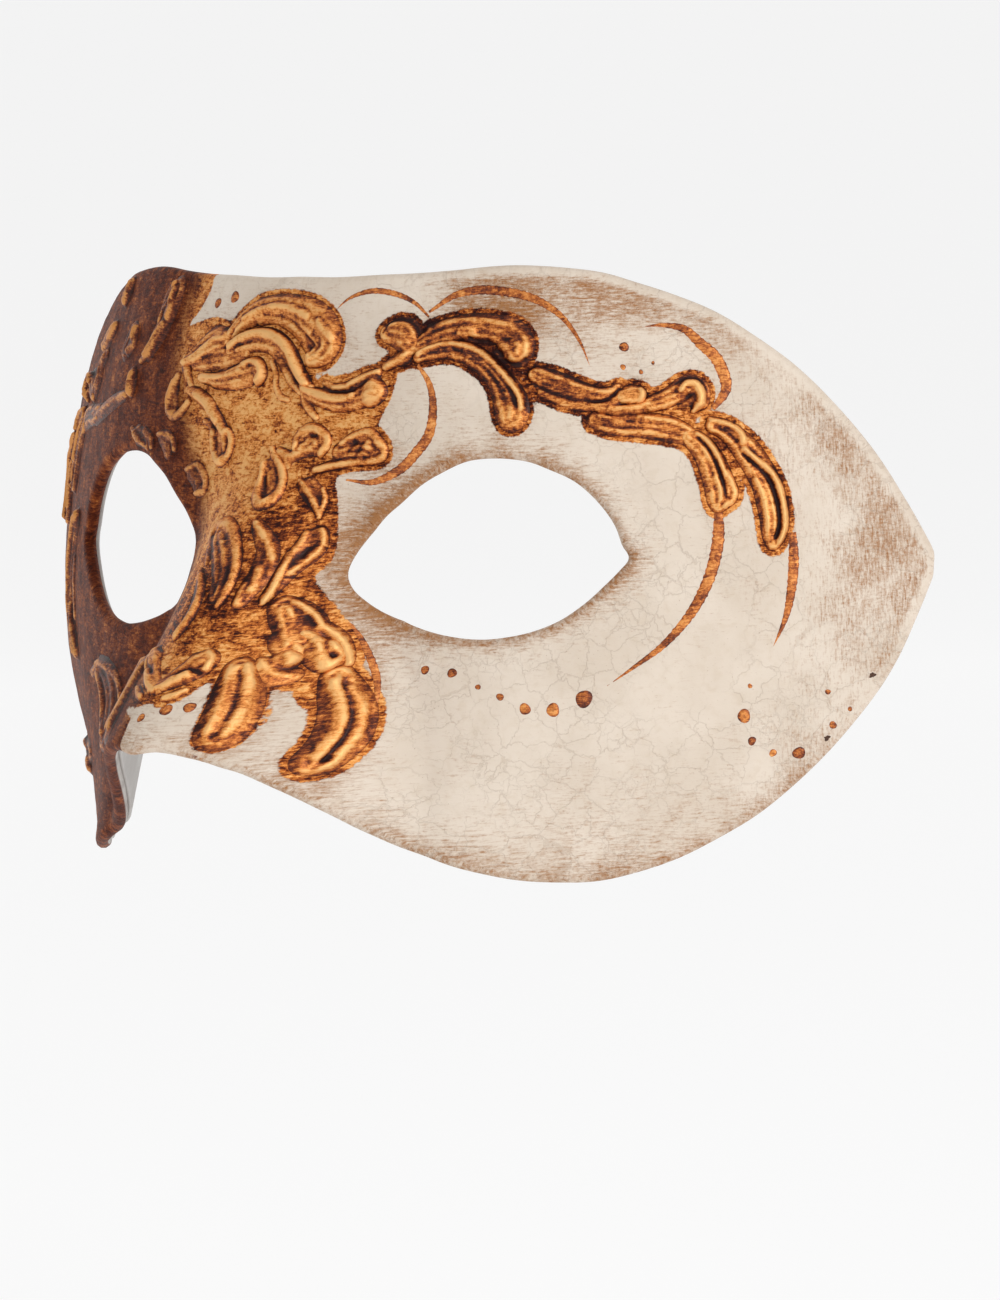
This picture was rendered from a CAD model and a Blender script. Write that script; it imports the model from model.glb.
import math
import bpy
import numpy as np
from mathutils import Matrix, Vector


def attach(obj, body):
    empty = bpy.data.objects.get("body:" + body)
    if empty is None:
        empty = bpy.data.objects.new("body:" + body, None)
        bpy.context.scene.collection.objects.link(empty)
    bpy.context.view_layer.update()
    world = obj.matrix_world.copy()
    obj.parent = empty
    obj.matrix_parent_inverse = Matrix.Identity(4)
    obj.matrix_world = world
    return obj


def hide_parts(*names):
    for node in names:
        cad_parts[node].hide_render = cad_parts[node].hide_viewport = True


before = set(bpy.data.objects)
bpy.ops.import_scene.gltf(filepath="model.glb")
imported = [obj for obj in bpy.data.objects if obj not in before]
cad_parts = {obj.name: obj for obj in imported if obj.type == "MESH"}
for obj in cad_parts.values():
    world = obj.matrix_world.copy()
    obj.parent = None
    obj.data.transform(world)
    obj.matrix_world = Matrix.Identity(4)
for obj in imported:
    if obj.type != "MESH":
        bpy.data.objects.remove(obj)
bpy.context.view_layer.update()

MM = 0.001

# ---------------------------------------------------------------- tables (mm)
SHELL_T = 2.2          # thickness of the papier-mache shell
LINING_T = 0.6         # thickness of the paper lining
RELIEF_T = 1.2         # height of the stucco relief over the shell
EDGE_INSET = 1.6       # how far the lining stops short of every edge
EYE_INSET = 1.3        # the same round the eye openings
RIBBON_W = 12.0        # ribbon width that the tabs take
TAB_L, TAB_H, TAB_T = 15.0, 19.0, 2.6   # ribbon tab along, across, proud of the lining
TUNNEL_T = 1.0         # clear height of the ribbon tunnel
TAB_S = 96.0           # place of the tabs, measured round the face
TAB_Z = -5.0

# --- the face surface -------------------------------------------------------
# The surface is described by (s, z): s is the distance round the face from
# the middle, z the height.  HEADING is the turn of the horizontal section.
HEADING_STEP = 5.0
HEADING_DEG = [
    0, 2.802, 5.619, 8.49, 11.465, 14.571, 17.803, 21.143,
    24.602, 28.208, 31.861, 35.255, 38.046, 40.117, 41.626, 42.805,
    43.828, 44.819, 45.865, 47.004, 48.222, 49.491, 50.795, 52.129,
    53.488, 54.835, 56.038, 56.882, 57.286, 57.404, 57.424,
]
BROW_LEAN, CHEEK_LEAN, TILT = 2.614, 2.3259, 0.11793   # how the face curls back above and below the eyes
NOSE_Z = [float(v) for v in range(-65, 70, 5)]
NOSE_HEIGHT = [
    41.011, 41.011, 41.008, 40.952, 40.564, 39.423, 37.466, 34.659, 30.684,
    25.895, 21.291, 17.283, 13.602, 9.857, 5.836, 2.317, 0.477, 0.039,
    0.001, 0, 0, 0, 0, 0, 0, 0, 0,
]
NOSE_HALF_WIDTH = [
    30.898, 30.898, 30.898, 30.898, 30.898, 30.892, 30.764, 30.013, 28.341,
    26.27, 24.149, 22.03, 19.99, 18.459, 17.867, 17.785, 17.781, 17.781,
    17.781, 17.781, 17.781, 17.781, 17.781, 17.781, 17.781, 17.781, 17.781,
]
# flare (negative) and tuck (positive) of the lower cheek, every HEADING_STEP round the face
CHEEK_FLARE = [
    0.4, -0.647, -3.161, -6.207, -8.933, -10.683, -10.838, -9.373,
    -7.029, -4.6, -2.705, -1.276, -0.072, 1.132, 2.333, 3.35,
    4, 4.147, 3.854, 3.235, 2.4, 1.463, 0.537, -0.266,
    -0.834, -1.054, -0.814, 0, 1.499, 3.797, 7.005,
]
CHEEK_START, CHEEK_FULL, CHEEK_POWER = -8.0, 44.0, 1.6

# --- outlines in (s, z), left half ------------------------------------------
TOP_EDGE = [
    (0, 40.7), (8, 40.6), (16.3, 40.9), (24.1, 41.1), (31.7, 41.5), (39.1, 42), (46.5, 41.9),
    (57, 40.8), (63.8, 38.9), (70.2, 36.7), (76.6, 33.9), (82.8, 29.9), (89, 25.1), (95, 18.9),
    (101, 11.2), (105.7, 3.2), (108.9, -3), (109.9, -5.3),
]
BOTTOM_EDGE = [
    (0, -31.3), (3.6, -30.9), (5.8, -31.2), (7.6, -31.8), (9.8, -32.7), (12, -34), (13.9, -35.2),
    (17.4, -38.4), (20.7, -41.8), (24.1, -45.3), (27.9, -48.3), (32.9, -50.7), (38.1, -52.6), (43.3, -54.1),
    (49, -54.9), (55, -55.1), (61.4, -54.1), (67.8, -52.4), (74.2, -49.7), (80.6, -46.2), (87, -41.1),
    (92.8, -35.4), (99.2, -27.8), (103.3, -21.6), (106.8, -14.6), (109.6, -8.6),
]
EYE_EDGE = [
    (16.73, -5.49), (17.57, -7.83), (19.32, -9.9), (21.85, -11.96), (25.09, -13.65), (28.65, -14.86), (32.76, -15.78),
    (37.23, -16.26), (41.46, -15.99), (45.81, -15.12), (50.02, -13.48), (53.94, -10.92), (57.11, -8.2), (59.51, -5.93),
    (60.97, -4.1), (59.94, -2.05), (59.08, 0.62), (57.59, 3.15), (55.14, 6.01), (52.34, 8.25), (48.85, 9.88),
    (44.83, 11.35), (39.76, 11.9), (34.95, 11.48), (30.77, 9.8), (27.07, 7.78), (23.68, 4.97), (20.93, 2.76),
    (18.52, -0.08), (17.13, -2.73),
]

# outline of each piece of stucco relief in (s, z)
STROKES = {
    "forehead_plume": [
        ("b", 1.1, [(-13.56, 31.25, 1.0), (-11.05, 33.18, 1.58), (-8.23, 34.63, 1.94), (-5.09, 35.44, 1.91), (-1.85, 35.45, 2.06), (1.47, 34.67, 2.58), (4.55, 33.41, 3.08), (7.19, 31.69, 3.04), (8.12, 29.8, 2.67), (7.13, 28.23, 1.96), (5.41, 27.28, 1.26)]),
        ("r", 0.45, [(-12.0, 32.06, 0.5), (-9.45, 33.67, 0.59), (-6.35, 34.8, 0.58), (-2.76, 35.45, 0.57), (0.7, 35.14, 0.56), (4.0, 34.04, 0.55)]),
        ("r", 0.5, [(-6.9, 33.21, 0.58), (-3.7, 33.55, 0.57), (-0.31, 32.61, 0.65), (2.45, 30.89, 0.64), (4.31, 28.85, 0.54), (5.15, 27.6, 0.36)]),
        ("r", 0.7, [(6.49, 33.26, 0.45), (7.96, 32.0, 0.62), (9.43, 30.59, 0.53)]),
        ("g", 0.5, [(-13.81, 30.29, 0.3), (-12.46, 31.9, 0.4), (-10.8, 33.19, 0.3)]),
        ("g", 0.4, [(-5.72, 34.17, 0.29), (-1.03, 33.87, 0.34), (2.39, 32.31, 0.37), (5.36, 30.11, 0.36), (6.82, 28.86, 0.27)]),
        ("g", 0.35, [(5.38, 31.21, 0.54), (7.16, 29.33, 0.54)]),
    ],
    "forehead_inner_arch": [
        ("b", 0.8, [(-13.14, 28.71, 1.19), (-10.22, 30.02, 1.56), (-6.3, 30.69, 1.72), (-2.73, 30.24, 1.69), (0.28, 28.52, 1.48), (2.67, 26.01, 1.27), (4.69, 23.82, 1.08)]),
        ("r", 0.9, [(-13.05, 29.35, 0.6), (-10.63, 30.65, 0.69), (-7.43, 31.47, 0.73), (-4.11, 31.33, 0.76), (-1.13, 30.09, 0.74), (0.99, 28.21, 0.73), (2.4, 26.33, 0.73), (4.0, 24.29, 0.63), (6.07, 22.89, 0.54)]),
        ("r", 0.5, [(-11.06, 28.42, 0.49), (-7.35, 29.09, 0.54), (-4.03, 28.8, 0.53), (-1.75, 27.56, 0.56), (-0.08, 25.68, 0.55), (1.53, 23.8, 0.55), (3.68, 22.24, 0.45)]),
        ("r", 0.6, [(-3.19, 26.91, 0.41), (-1.94, 25.03, 0.48), (-1.58, 22.98, 0.48), (-0.23, 21.42, 0.48), (1.55, 20.96, 0.36)]),
        ("g", 0.5, [(-9.56, 32.24, 0.29), (-5.3, 32.43, 0.38), (-1.68, 31.66, 0.37), (1.32, 29.94, 0.37), (3.23, 27.75, 0.36), (4.64, 25.55, 0.36)]),
    ],
    "forehead_swoosh_leaf": [
        ("b", 0.9, [(-24.9, 26.6, 0.87), (-22.27, 27.61, 1.49), (-19.84, 28.94, 2.09), (-17.44, 30.09, 2.26), (-14.89, 30.44, 1.61)]),
        ("r", 0.5, [(-25.09, 26.27, 0.54), (-21.83, 27.14, 0.64), (-18.96, 28.79, 0.73), (-16.68, 30.26, 0.82), (-14.72, 30.76, 0.6)]),
        ("r", 0.4, [(-18.1, 28.64, 0.62), (-16.58, 28.98, 0.82), (-14.67, 28.69, 0.4)]),
        ("b", 0.6, [(-22.16, 26.33, 1.06), (-17.92, 27.05, 1.64), (-13.36, 27.59, 1.59), (-9.6, 28.43, 1.17)]),
    ],
    "forehead_teardrop": [
        ("b", 1.0, [(-19.58, 24.14, 0.83), (-16.08, 24.05, 1.22), (-12.11, 24.43, 1.77), (-8.65, 25.27, 2.12), (-6.37, 25.62, 1.91), (-5.46, 24.52, 1.33)]),
        ("r", 0.6, [(-9.47, 26.85, 0.39), (-7.13, 27.03, 0.57), (-5.34, 26.26, 0.66), (-4.61, 24.85, 0.66), (-5.51, 23.57, 0.57)]),
        ("r", 0.35, [(-18.89, 24.63, 0.41), (-14.61, 24.39, 0.4), (-10.81, 25.24, 0.49), (-8.61, 26.22, 0.39)]),
        ("r", 0.3, [(-16.07, 22.93, 0.4), (-11.0, 22.7, 0.39), (-7.09, 23.39, 0.38)]),
        ("g", 0.5, [(-20.71, 25.24, 0.31), (-14.8, 25.18, 0.36), (-10.61, 26.52, 0.35), (-7.54, 27.82, 0.35), (-4.81, 28.17, 0.34)]),
    ],
    "brow_hook": [
        ("b", 0.45, [(-27.07, 22.85, 1.11), (-27.36, 20.75, 1.33), (-26.56, 19.0, 1.1)]),
        ("r", 0.9, [(-26.6, 24.31, 0.55), (-27.28, 22.52, 0.71), (-27.99, 20.73, 0.76), (-28.14, 19.11, 0.72), (-26.91, 18.02, 0.71), (-25.11, 18.07, 0.7), (-23.61, 19.08, 0.64), (-22.47, 20.23, 0.53)]),
        ("b", 0.3, [(-25.59, 25.94, 0.66), (-24.39, 24.04, 0.65), (-23.84, 22.12, 0.65)]),
        ("r", 0.7, [(-25.46, 27.39, 0.55), (-24.39, 25.97, 0.65), (-23.61, 24.38, 0.56), (-22.25, 22.64, 0.47)]),
    ],
    "bridge_curl": [
        ("b", 0.8, [(-22.69, 22.15, 0.85), (-19.66, 21.26, 1.14), (-16.98, 20.04, 1.22), (-15.1, 18.48, 1.21), (-13.26, 16.93, 1.1), (-11.76, 15.69, 0.8)]),
        ("r", 0.5, [(-20.25, 21.4, 0.52), (-17.57, 20.34, 0.61), (-15.67, 18.79, 0.61), (-13.86, 17.39, 0.6)]),
        ("b", 0.4, [(-12.94, 15.34, 1.41), (-12.24, 13.45, 1.64), (-12.08, 11.88, 1.48)]),
        ("r", 0.8, [(-15.03, 15.61, 0.51), (-14.68, 13.86, 0.57), (-13.78, 12.14, 0.63), (-12.06, 10.93, 0.69), (-10.37, 11.62, 0.64), (-9.81, 13.05, 0.61), (-10.01, 14.62, 0.6), (-11.05, 15.86, 0.5)]),
        ("r", 0.4, [(-17.44, 17.31, 0.41), (-16.05, 16.86, 0.45), (-15.35, 15.92, 0.41)]),
        ("r", 0.35, [(-12.89, 16.3, 0.5), (-11.71, 14.42, 0.57), (-11.09, 13.01, 0.41)]),
        ("g", 0.3, [(-13.82, 14.68, 0.41), (-13.21, 13.11, 0.41)]),
    ],
    "bridge_loop_leaf": [
        ("b", 0.45, [(0.2, 10.36, 1.37), (1.45, 8.56, 1.75), (2.17, 6.77, 1.73), (2.62, 5.73, 1.14)]),
        ("r", 0.9, [(-0.68, 10.8, 0.49), (-0.14, 9.14, 0.56), (0.01, 7.64, 0.61), (0.44, 6.15, 0.64), (2.1, 4.84, 0.65), (3.49, 5.14, 0.67), (4.27, 6.19, 0.66), (4.35, 7.69, 0.62), (3.69, 9.34, 0.59), (2.32, 11.0, 0.56), (0.7, 12.36, 0.57), (-0.09, 13.27, 0.47)]),
        ("g", 0.35, [(0.67, 8.85, 0.43), (1.79, 7.07, 0.58), (2.44, 6.03, 0.38)]),
    ],
    "temple_loop_a": [
        ("b", 0.6, [(5.4, 13.18, 1.44), (6.65, 14.28, 2.13), (7.71, 14.75, 2.11), (8.66, 13.82, 1.57)]),
        ("r", 0.8, [(4.53, 13.48, 0.54), (4.35, 14.88, 0.58), (5.27, 16.13, 0.61), (6.95, 16.77, 0.6), (8.79, 16.32, 0.6), (10.32, 15.08, 0.59), (10.36, 13.68, 0.52), (9.51, 12.43, 0.45)]),
        ("b", 0.3, [(1.74, 12.83, 0.75), (3.82, 12.09, 0.92), (5.3, 12.25, 0.72)]),
        ("r", 0.5, [(1.28, 12.98, 0.56), (3.38, 12.24, 0.55), (5.06, 12.41, 0.47), (5.97, 13.19, 0.36)]),
        ("r", 0.4, [(2.97, 11.77, 0.56), (4.0, 10.71, 0.48)]),
        ("g", 0.35, [(7.42, 15.22, 0.53), (8.36, 15.38, 0.35)]),
        ("r", 0.3, [(5.65, 13.65, 0.36), (7.6, 13.51, 0.53), (8.6, 14.13, 0.35)]),
    ],
    "temple_loop_b": [
        ("b", 0.5, [(12.85, 12.91, 1.36), (14.95, 13.54, 1.87), (17.11, 13.86, 2.04), (18.8, 13.39, 1.69)]),
        ("b", 0.3, [(9.49, 10.27, 0.68), (11.43, 10.73, 0.84), (13.4, 11.35, 1.01)]),
        ("r", 0.85, [(13.22, 14.31, 0.43), (14.6, 15.25, 0.48), (16.4, 15.89, 0.51), (18.25, 16.05, 0.58), (19.61, 14.96, 0.61), (20.79, 13.55, 0.6), (20.7, 12.15, 0.57), (19.1, 11.52, 0.54), (16.56, 11.35, 0.5), (14.13, 11.04, 0.5), (11.46, 10.57, 0.47), (9.06, 9.96, 0.43)]),
        ("r", 0.5, [(18.19, 14.33, 0.51), (17.71, 13.23, 0.68), (16.87, 12.13, 0.57)]),
        ("g", 0.35, [(15.79, 14.32, 0.42), (14.61, 13.22, 0.42)]),
    ],
    "bridge_vee": [
        ("b", 0.35, [(8.61, 7.67, 1.36), (10.29, 5.97, 1.32), (11.1, 4.26, 0.81)]),
        ("r", 0.7, [(7.06, 8.44, 0.35), (8.45, 7.21, 0.41), (9.79, 5.67, 0.43), (10.9, 3.96, 0.39), (11.42, 2.72, 0.29)]),
        ("r", 0.7, [(11.18, 7.18, 0.33), (11.79, 5.63, 0.39), (11.67, 4.09, 0.39), (11.42, 2.72, 0.29)]),
    ],
    "brow_stem_bulb": [
        ("b", 0.8, [(4.92, 22.25, 1.08), (8.31, 21.33, 1.41), (11.94, 20.72, 1.57), (14.8, 21.04, 1.55), (16.81, 21.83, 1.88), (18.27, 22.3, 2.04), (19.02, 22.29, 1.7)]),
        ("r", 0.7, [(3.95, 23.19, 0.45), (6.36, 22.26, 0.57), (9.29, 21.49, 0.6), (12.08, 21.19, 0.56), (14.54, 21.67, 0.45)]),
        ("r", 0.9, [(18.14, 23.7, 1.02), (18.27, 22.3, 1.53), (17.83, 21.05, 1.02)]),
        ("b", 0.3, [(5.15, 20.68, 0.72), (6.59, 19.12, 0.71), (7.72, 18.19, 0.53)]),
        ("r", 0.4, [(4.48, 20.99, 0.45), (5.94, 19.43, 0.5), (7.53, 18.19, 0.39)]),
        ("b", 0.4, [(10.72, 22.75, 0.7), (13.6, 23.23, 0.87), (15.81, 24.17, 0.69), (18.75, 25.1, 0.68)]),
        ("r", 0.7, [(13.58, 23.39, 0.42), (15.21, 24.33, 0.48), (17.23, 25.11, 0.51), (19.08, 25.57, 0.41)]),
        ("r", 0.4, [(8.6, 23.69, 0.44), (11.29, 22.91, 0.44), (13.62, 23.07, 0.35)]),
        ("g", 0.4, [(10.18, 22.28, 0.35), (12.91, 22.45, 0.31)]),
    ],
    "nose_leaf": [
        ("b", 0.5, [(-2.59, 0.27, 2.12), (-0.32, -1.87, 2.24), (1.34, -4.2, 2.04), (2.09, -6.56, 1.61), (2.16, -8.62, 1.07)]),
        ("r", 0.7, [(-6.15, 0.49, 0.74), (-5.06, 1.62, 0.82), (-2.89, 2.04, 0.8), (-0.35, 1.09, 0.7), (1.42, -0.65, 0.6), (2.72, -2.71, 0.53), (3.47, -4.94, 0.52), (3.66, -7.01, 0.48), (3.45, -8.78, 0.45), (3.03, -10.09, 0.38)]),
        ("r", 0.4, [(-5.83, -0.38, 0.62), (-4.37, -2.07, 0.62), (-3.14, -3.77, 0.5)]),
        ("g", 0.35, [(0.33, -6.29, 0.48), (1.38, -7.45, 0.55), (1.5, -8.63, 0.46)]),
    ],
    "nose_strand_ridge": [
        ("b", 0.3, [(-2.72, -6.42, 0.98), (-1.18, -8.85, 1.07), (-0.96, -11.64, 1.05), (-1.7, -14.31, 0.9)]),
        ("r", 0.6, [(-3.92, -5.31, 0.55), (-1.79, -6.81, 0.58), (-0.72, -8.83, 0.58), (-0.6, -10.89, 0.57), (-0.98, -12.81, 0.59), (-1.82, -14.75, 0.54)]),
    ],
    "nose_strands_mid": [
        ("b", 0.4, [(3.58, 1.72, 0.9), (5.29, -0.08, 1.2), (6.5, -1.9, 1.34), (6.92, -5.19, 1.49), (6.31, -7.53, 1.33), (5.86, -9.57, 1.0)]),
        ("r", 0.6, [(2.77, 2.32, 0.37), (4.75, 0.52, 0.45), (6.47, -1.46, 0.44), (7.5, -3.43, 0.4)]),
        ("r", 0.6, [(6.45, -4.87, 0.5), (6.61, -6.36, 0.56), (6.54, -7.84, 0.5)]),
        ("r", 0.45, [(5.53, -7.06, 0.4), (5.41, -8.38, 0.47), (5.48, -9.85, 0.4)]),
    ],
    "nose_strands_eye": [
        ("b", 0.4, [(11.82, 0.11, 1.29), (11.58, -2.01, 1.62), (10.66, -3.61, 1.47), (9.63, -5.34, 1.31), (9.16, -7.39, 0.99), (8.63, -9.13, 0.82)]),
        ("r", 0.7, [(10.32, 0.48, 0.42), (9.96, -1.31, 0.49), (9.28, -2.93, 0.49), (9.12, -4.71, 0.49), (8.93, -6.63, 0.49), (8.77, -8.55, 0.46), (8.48, -10.01, 0.36)]),
        ("r", 0.6, [(12.15, 0.86, 0.39), (12.7, -0.85, 0.48), (12.32, -2.35, 0.49), (11.6, -3.52, 0.46), (10.78, -4.52, 0.43), (10.03, -5.66, 0.36)]),
        ("g", 0.4, [(10.72, -3.01, 0.49), (11.25, -1.99, 0.39)]),
    ],
    "left_brow_bead": [
        ("b", 0.7, [(20.15, 26.19, 0.68), (21.92, 27.12, 1.01), (23.71, 27.89, 1.17), (24.76, 28.5, 0.67)]),
        ("r", 0.5, [(20.88, 26.35, 0.42), (22.65, 27.27, 0.59), (24.05, 28.2, 0.5)]),
    ],
    "left_knob": [
        ("b", 1.0, [(19.96, 31.34, 1.36), (21.66, 31.49, 2.03), (23.39, 31.16, 2.53), (24.44, 29.91, 2.01)]),
        ("r", 0.7, [(21.38, 32.27, 0.85), (22.76, 31.79, 1.35), (23.6, 30.85, 1.51)]),
        ("g", 0.45, [(19.37, 31.5, 0.31), (20.72, 33.05, 0.34), (22.95, 33.5, 0.34), (25.11, 32.55, 0.34), (26.0, 30.98, 0.33)]),
    ],
    "left_arch_upper": [
        ("b", 0.9, [(26.13, 29.58, 1.33), (28.24, 30.65, 1.66), (31.07, 31.55, 1.98), (34.09, 31.98, 2.13), (37.11, 32.09, 2.12), (39.95, 31.58, 2.26), (42.25, 30.61, 2.74), (43.66, 29.19, 2.57), (43.52, 27.95, 1.92)]),
        ("r", 0.35, [(27.74, 32.21, 0.5), (31.31, 33.1, 0.5), (35.82, 33.04, 0.49), (40.27, 32.51, 0.49), (43.8, 30.89, 0.48), (45.56, 28.53, 0.48)]),
        ("r", 0.6, [(33.42, 31.37, 0.49), (34.65, 31.66, 0.82), (35.91, 31.33, 0.49)]),
        ("r", 0.8, [(40.4, 28.63, 0.81), (41.79, 28.29, 1.29), (43.16, 28.58, 1.44), (44.36, 29.02, 1.12)]),
        ("r", 0.5, [(44.5, 30.41, 0.4), (45.21, 29.0, 0.45), (44.89, 27.77, 0.4)]),
        ("g", 0.6, [(38.27, 29.75, 0.49), (39.7, 28.95, 0.73), (40.77, 27.85, 0.48)]),
        ("g", 0.4, [(35.07, 30.57, 0.29), (37.76, 29.44, 0.32), (40.1, 27.39, 0.32), (43.03, 26.41, 0.35), (45.58, 27.29, 0.32)]),
    ],
    "left_arch_lower": [
        ("b", 0.8, [(25.94, 27.56, 0.83), (28.06, 28.32, 1.16), (30.91, 28.76, 1.32), (33.77, 28.41, 1.47), (36.46, 27.29, 1.62), (38.95, 25.55, 1.77), (40.89, 23.35, 2.08), (42.12, 21.16, 2.56), (42.65, 19.14, 2.71), (42.49, 18.06, 2.07)]),
        ("r", 0.9, [(26.25, 28.18, 0.43), (28.36, 29.1, 0.5), (30.84, 29.69, 0.56), (33.52, 29.66, 0.59), (36.21, 28.85, 0.59), (38.72, 27.26, 0.58), (40.84, 25.21, 0.58), (42.58, 23.32, 0.54), (43.96, 21.44, 0.54), (44.31, 19.57, 0.48)]),
        ("r", 0.4, [(34.48, 28.41, 0.33), (37.0, 26.97, 0.36), (39.13, 25.24, 0.39), (41.07, 22.88, 0.38), (41.94, 21.78, 0.32)]),
        ("g", 0.5, [(32.51, 28.74, 0.29), (35.57, 27.77, 0.33), (38.07, 26.03, 0.39), (40.2, 23.67, 0.42), (41.59, 22.1, 0.32)]),
        ("r", 0.4, [(40.62, 20.1, 0.8), (41.99, 18.68, 1.12), (43.15, 18.98, 0.96)]),
    ],
    "left_trailing_stem": [
        ("b", 0.8, [(46.28, 24.65, 1.12), (48.62, 23.52, 1.91), (51.44, 22.52, 1.9), (54.22, 21.53, 1.74), (56.81, 20.84, 1.58), (59.08, 20.78, 1.42), (60.71, 21.04, 0.95)]),
        ("r", 0.5, [(46.94, 25.41, 0.48), (49.79, 24.11, 0.54), (52.6, 22.96, 0.54), (55.54, 22.11, 0.51), (58.14, 21.89, 0.47), (60.12, 22.61, 0.41)]),
        ("b", 0.4, [(57.09, 19.13, 0.79), (60.31, 18.88, 0.95), (63.53, 19.25, 0.95), (65.48, 19.81, 0.79)]),
        ("r", 0.5, [(47.29, 21.84, 0.44), (49.93, 20.7, 0.47), (52.87, 19.7, 0.47), (55.8, 19.32, 0.47), (59.03, 19.23, 0.44), (62.25, 19.14, 0.41), (65.16, 19.82, 0.41)]),
        ("g", 0.55, [(46.28, 23.25, 0.29), (48.62, 22.12, 0.35), (51.09, 21.29, 0.35), (53.87, 20.61, 0.35), (56.63, 20.23, 0.35), (58.76, 20.79, 0.35), (60.09, 21.83, 0.28)]),
    ],
    "left_trailing_bulb": [
        ("b", 1.1, [(60.7, 20.89, 1.11), (62.32, 21.15, 1.58), (63.61, 21.11, 1.26)]),
        ("r", 0.5, [(63.8, 21.88, 0.47), (64.09, 20.94, 0.54), (63.56, 19.87, 0.41)]),
        ("g", 0.5, [(59.94, 22.3, 0.25), (61.75, 22.87, 0.28), (63.68, 22.66, 0.28), (64.75, 21.38, 0.28), (64.36, 19.85, 0.25)]),
    ],
    "left_trailing_hook": [
        ("b", 0.8, [(65.31, 19.66, 1.26), (67.42, 20.22, 1.42), (69.38, 20.93, 1.74), (71.17, 21.49, 2.22), (72.61, 21.44, 2.06), (73.01, 20.03, 1.59)]),
        ("r", 0.9, [(70.06, 21.68, 0.41), (71.23, 22.57, 0.48), (72.5, 22.38, 0.57), (73.24, 21.27, 0.63), (73.33, 20.02, 0.63), (72.64, 18.96, 0.54), (71.97, 18.36, 0.38)]),
        ("g", 0.5, [(65.89, 18.1, 0.32), (67.99, 18.65, 0.35), (69.96, 19.67, 0.38), (71.61, 20.7, 0.48)]),
        ("g", 0.4, [(69.46, 22.63, 0.25), (71.12, 23.51, 0.29), (72.87, 23.29, 0.29), (74.07, 21.86, 0.29), (74.12, 19.69, 0.29)]),
    ],
    "left_trailing_underleaf": [
        ("b", 0.55, [(56.23, 17.45, 1.26), (58.95, 16.76, 1.58), (62.14, 16.51, 1.73), (65.33, 16.25, 1.89), (68.17, 15.7, 1.89), (70.36, 14.85, 1.58)]),
        ("r", 0.3, [(57.06, 18.05, 0.38), (58.97, 17.37, 0.41), (60.88, 16.85, 0.35)]),
        ("r", 0.35, [(57.0, 16.19, 0.31), (60.19, 15.48, 0.38), (64.17, 15.36, 0.38), (67.33, 14.64, 0.38)]),
        ("r", 0.3, [(63.48, 17.86, 0.32), (66.65, 17.3, 0.38), (69.8, 16.42, 0.38), (72.12, 15.1, 0.32)]),
    ],
    "left_tail_leaf_short": [
        ("b", 0.8, [(70.97, 14.36, 1.26), (72.81, 12.91, 1.74), (74.15, 11.0, 2.05), (75.0, 8.8, 2.21), (75.53, 6.6, 2.21), (75.44, 4.74, 1.89), (75.24, 3.66, 1.26)]),
        ("r", 0.8, [(72.43, 14.94, 0.38), (73.81, 13.8, 0.44), (74.99, 12.06, 0.47), (75.85, 10.16, 0.47), (76.56, 8.27, 0.47)]),
        ("r", 0.8, [(76.9, 8.73, 0.38), (77.61, 7.15, 0.47), (78.01, 5.58, 0.5), (77.48, 4.2, 0.47), (76.33, 3.47, 0.38)]),
        ("g", 0.5, [(72.4, 14.32, 0.28), (73.76, 12.87, 0.35), (74.78, 10.98, 0.35), (75.49, 9.09, 0.35), (76.17, 6.89, 0.35), (76.56, 4.86, 0.32)]),
        ("r", 0.35, [(74.79, 7.87, 0.38), (75.51, 6.14, 0.41), (75.75, 4.57, 0.35)]),
    ],
    "left_tail_leaf_long": [
        ("b", 0.85, [(74.87, 15.94, 1.11), (76.75, 15.25, 1.43), (78.44, 13.95, 1.74), (80.09, 12.03, 2.06), (81.71, 9.49, 2.14), (83.0, 6.8, 2.22), (83.65, 3.97, 2.21), (84.01, 1.31, 2.13), (83.91, -0.87, 1.9), (83.68, -2.42, 1.26)]),
        ("r", 0.8, [(74.45, 17.04, 0.35), (76.19, 16.67, 0.41), (78.06, 15.83, 0.48), (79.27, 14.7, 0.51), (79.68, 13.29, 0.48)]),
        ("r", 0.9, [(79.61, 12.05, 0.41), (81.13, 10.75, 0.44), (82.81, 9.29, 0.48), (84.32, 7.68, 0.51), (85.18, 5.78, 0.54), (85.55, 3.59, 0.54), (85.76, 1.4, 0.54), (85.51, -0.62, 0.51), (84.64, -2.3, 0.44)]),
        ("g", 0.55, [(75.19, 15.93, 0.35), (77.05, 14.93, 0.41), (78.57, 13.48, 0.38)]),
        ("g", 0.55, [(79.42, 11.43, 0.32), (81.55, 9.49, 0.38), (83.19, 7.41, 0.47), (84.19, 5.04, 0.54), (84.7, 2.53, 0.54), (84.58, 0.04, 0.47), (83.86, -1.8, 0.35)]),
        ("r", 0.4, [(81.28, 7.33, 0.47), (82.42, 4.64, 0.54), (82.77, 1.98, 0.54), (82.82, -0.2, 0.44)]),
    ],
    "left_cheek_fan": [
        ("b", 0.5, [(10.76, -10.46, 1.48), (12.19, -12.05, 2.14), (13.56, -13.94, 2.31), (14.25, -16.05, 1.99)]),
        ("b", 0.45, [(12.75, -15.62, 1.82), (12.83, -17.08, 1.0)]),
        ("r", 0.5, [(10.63, -11.04, 0.33), (11.27, -12.86, 0.36), (12.09, -14.97, 0.36), (12.83, -16.5, 0.33)]),
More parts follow.
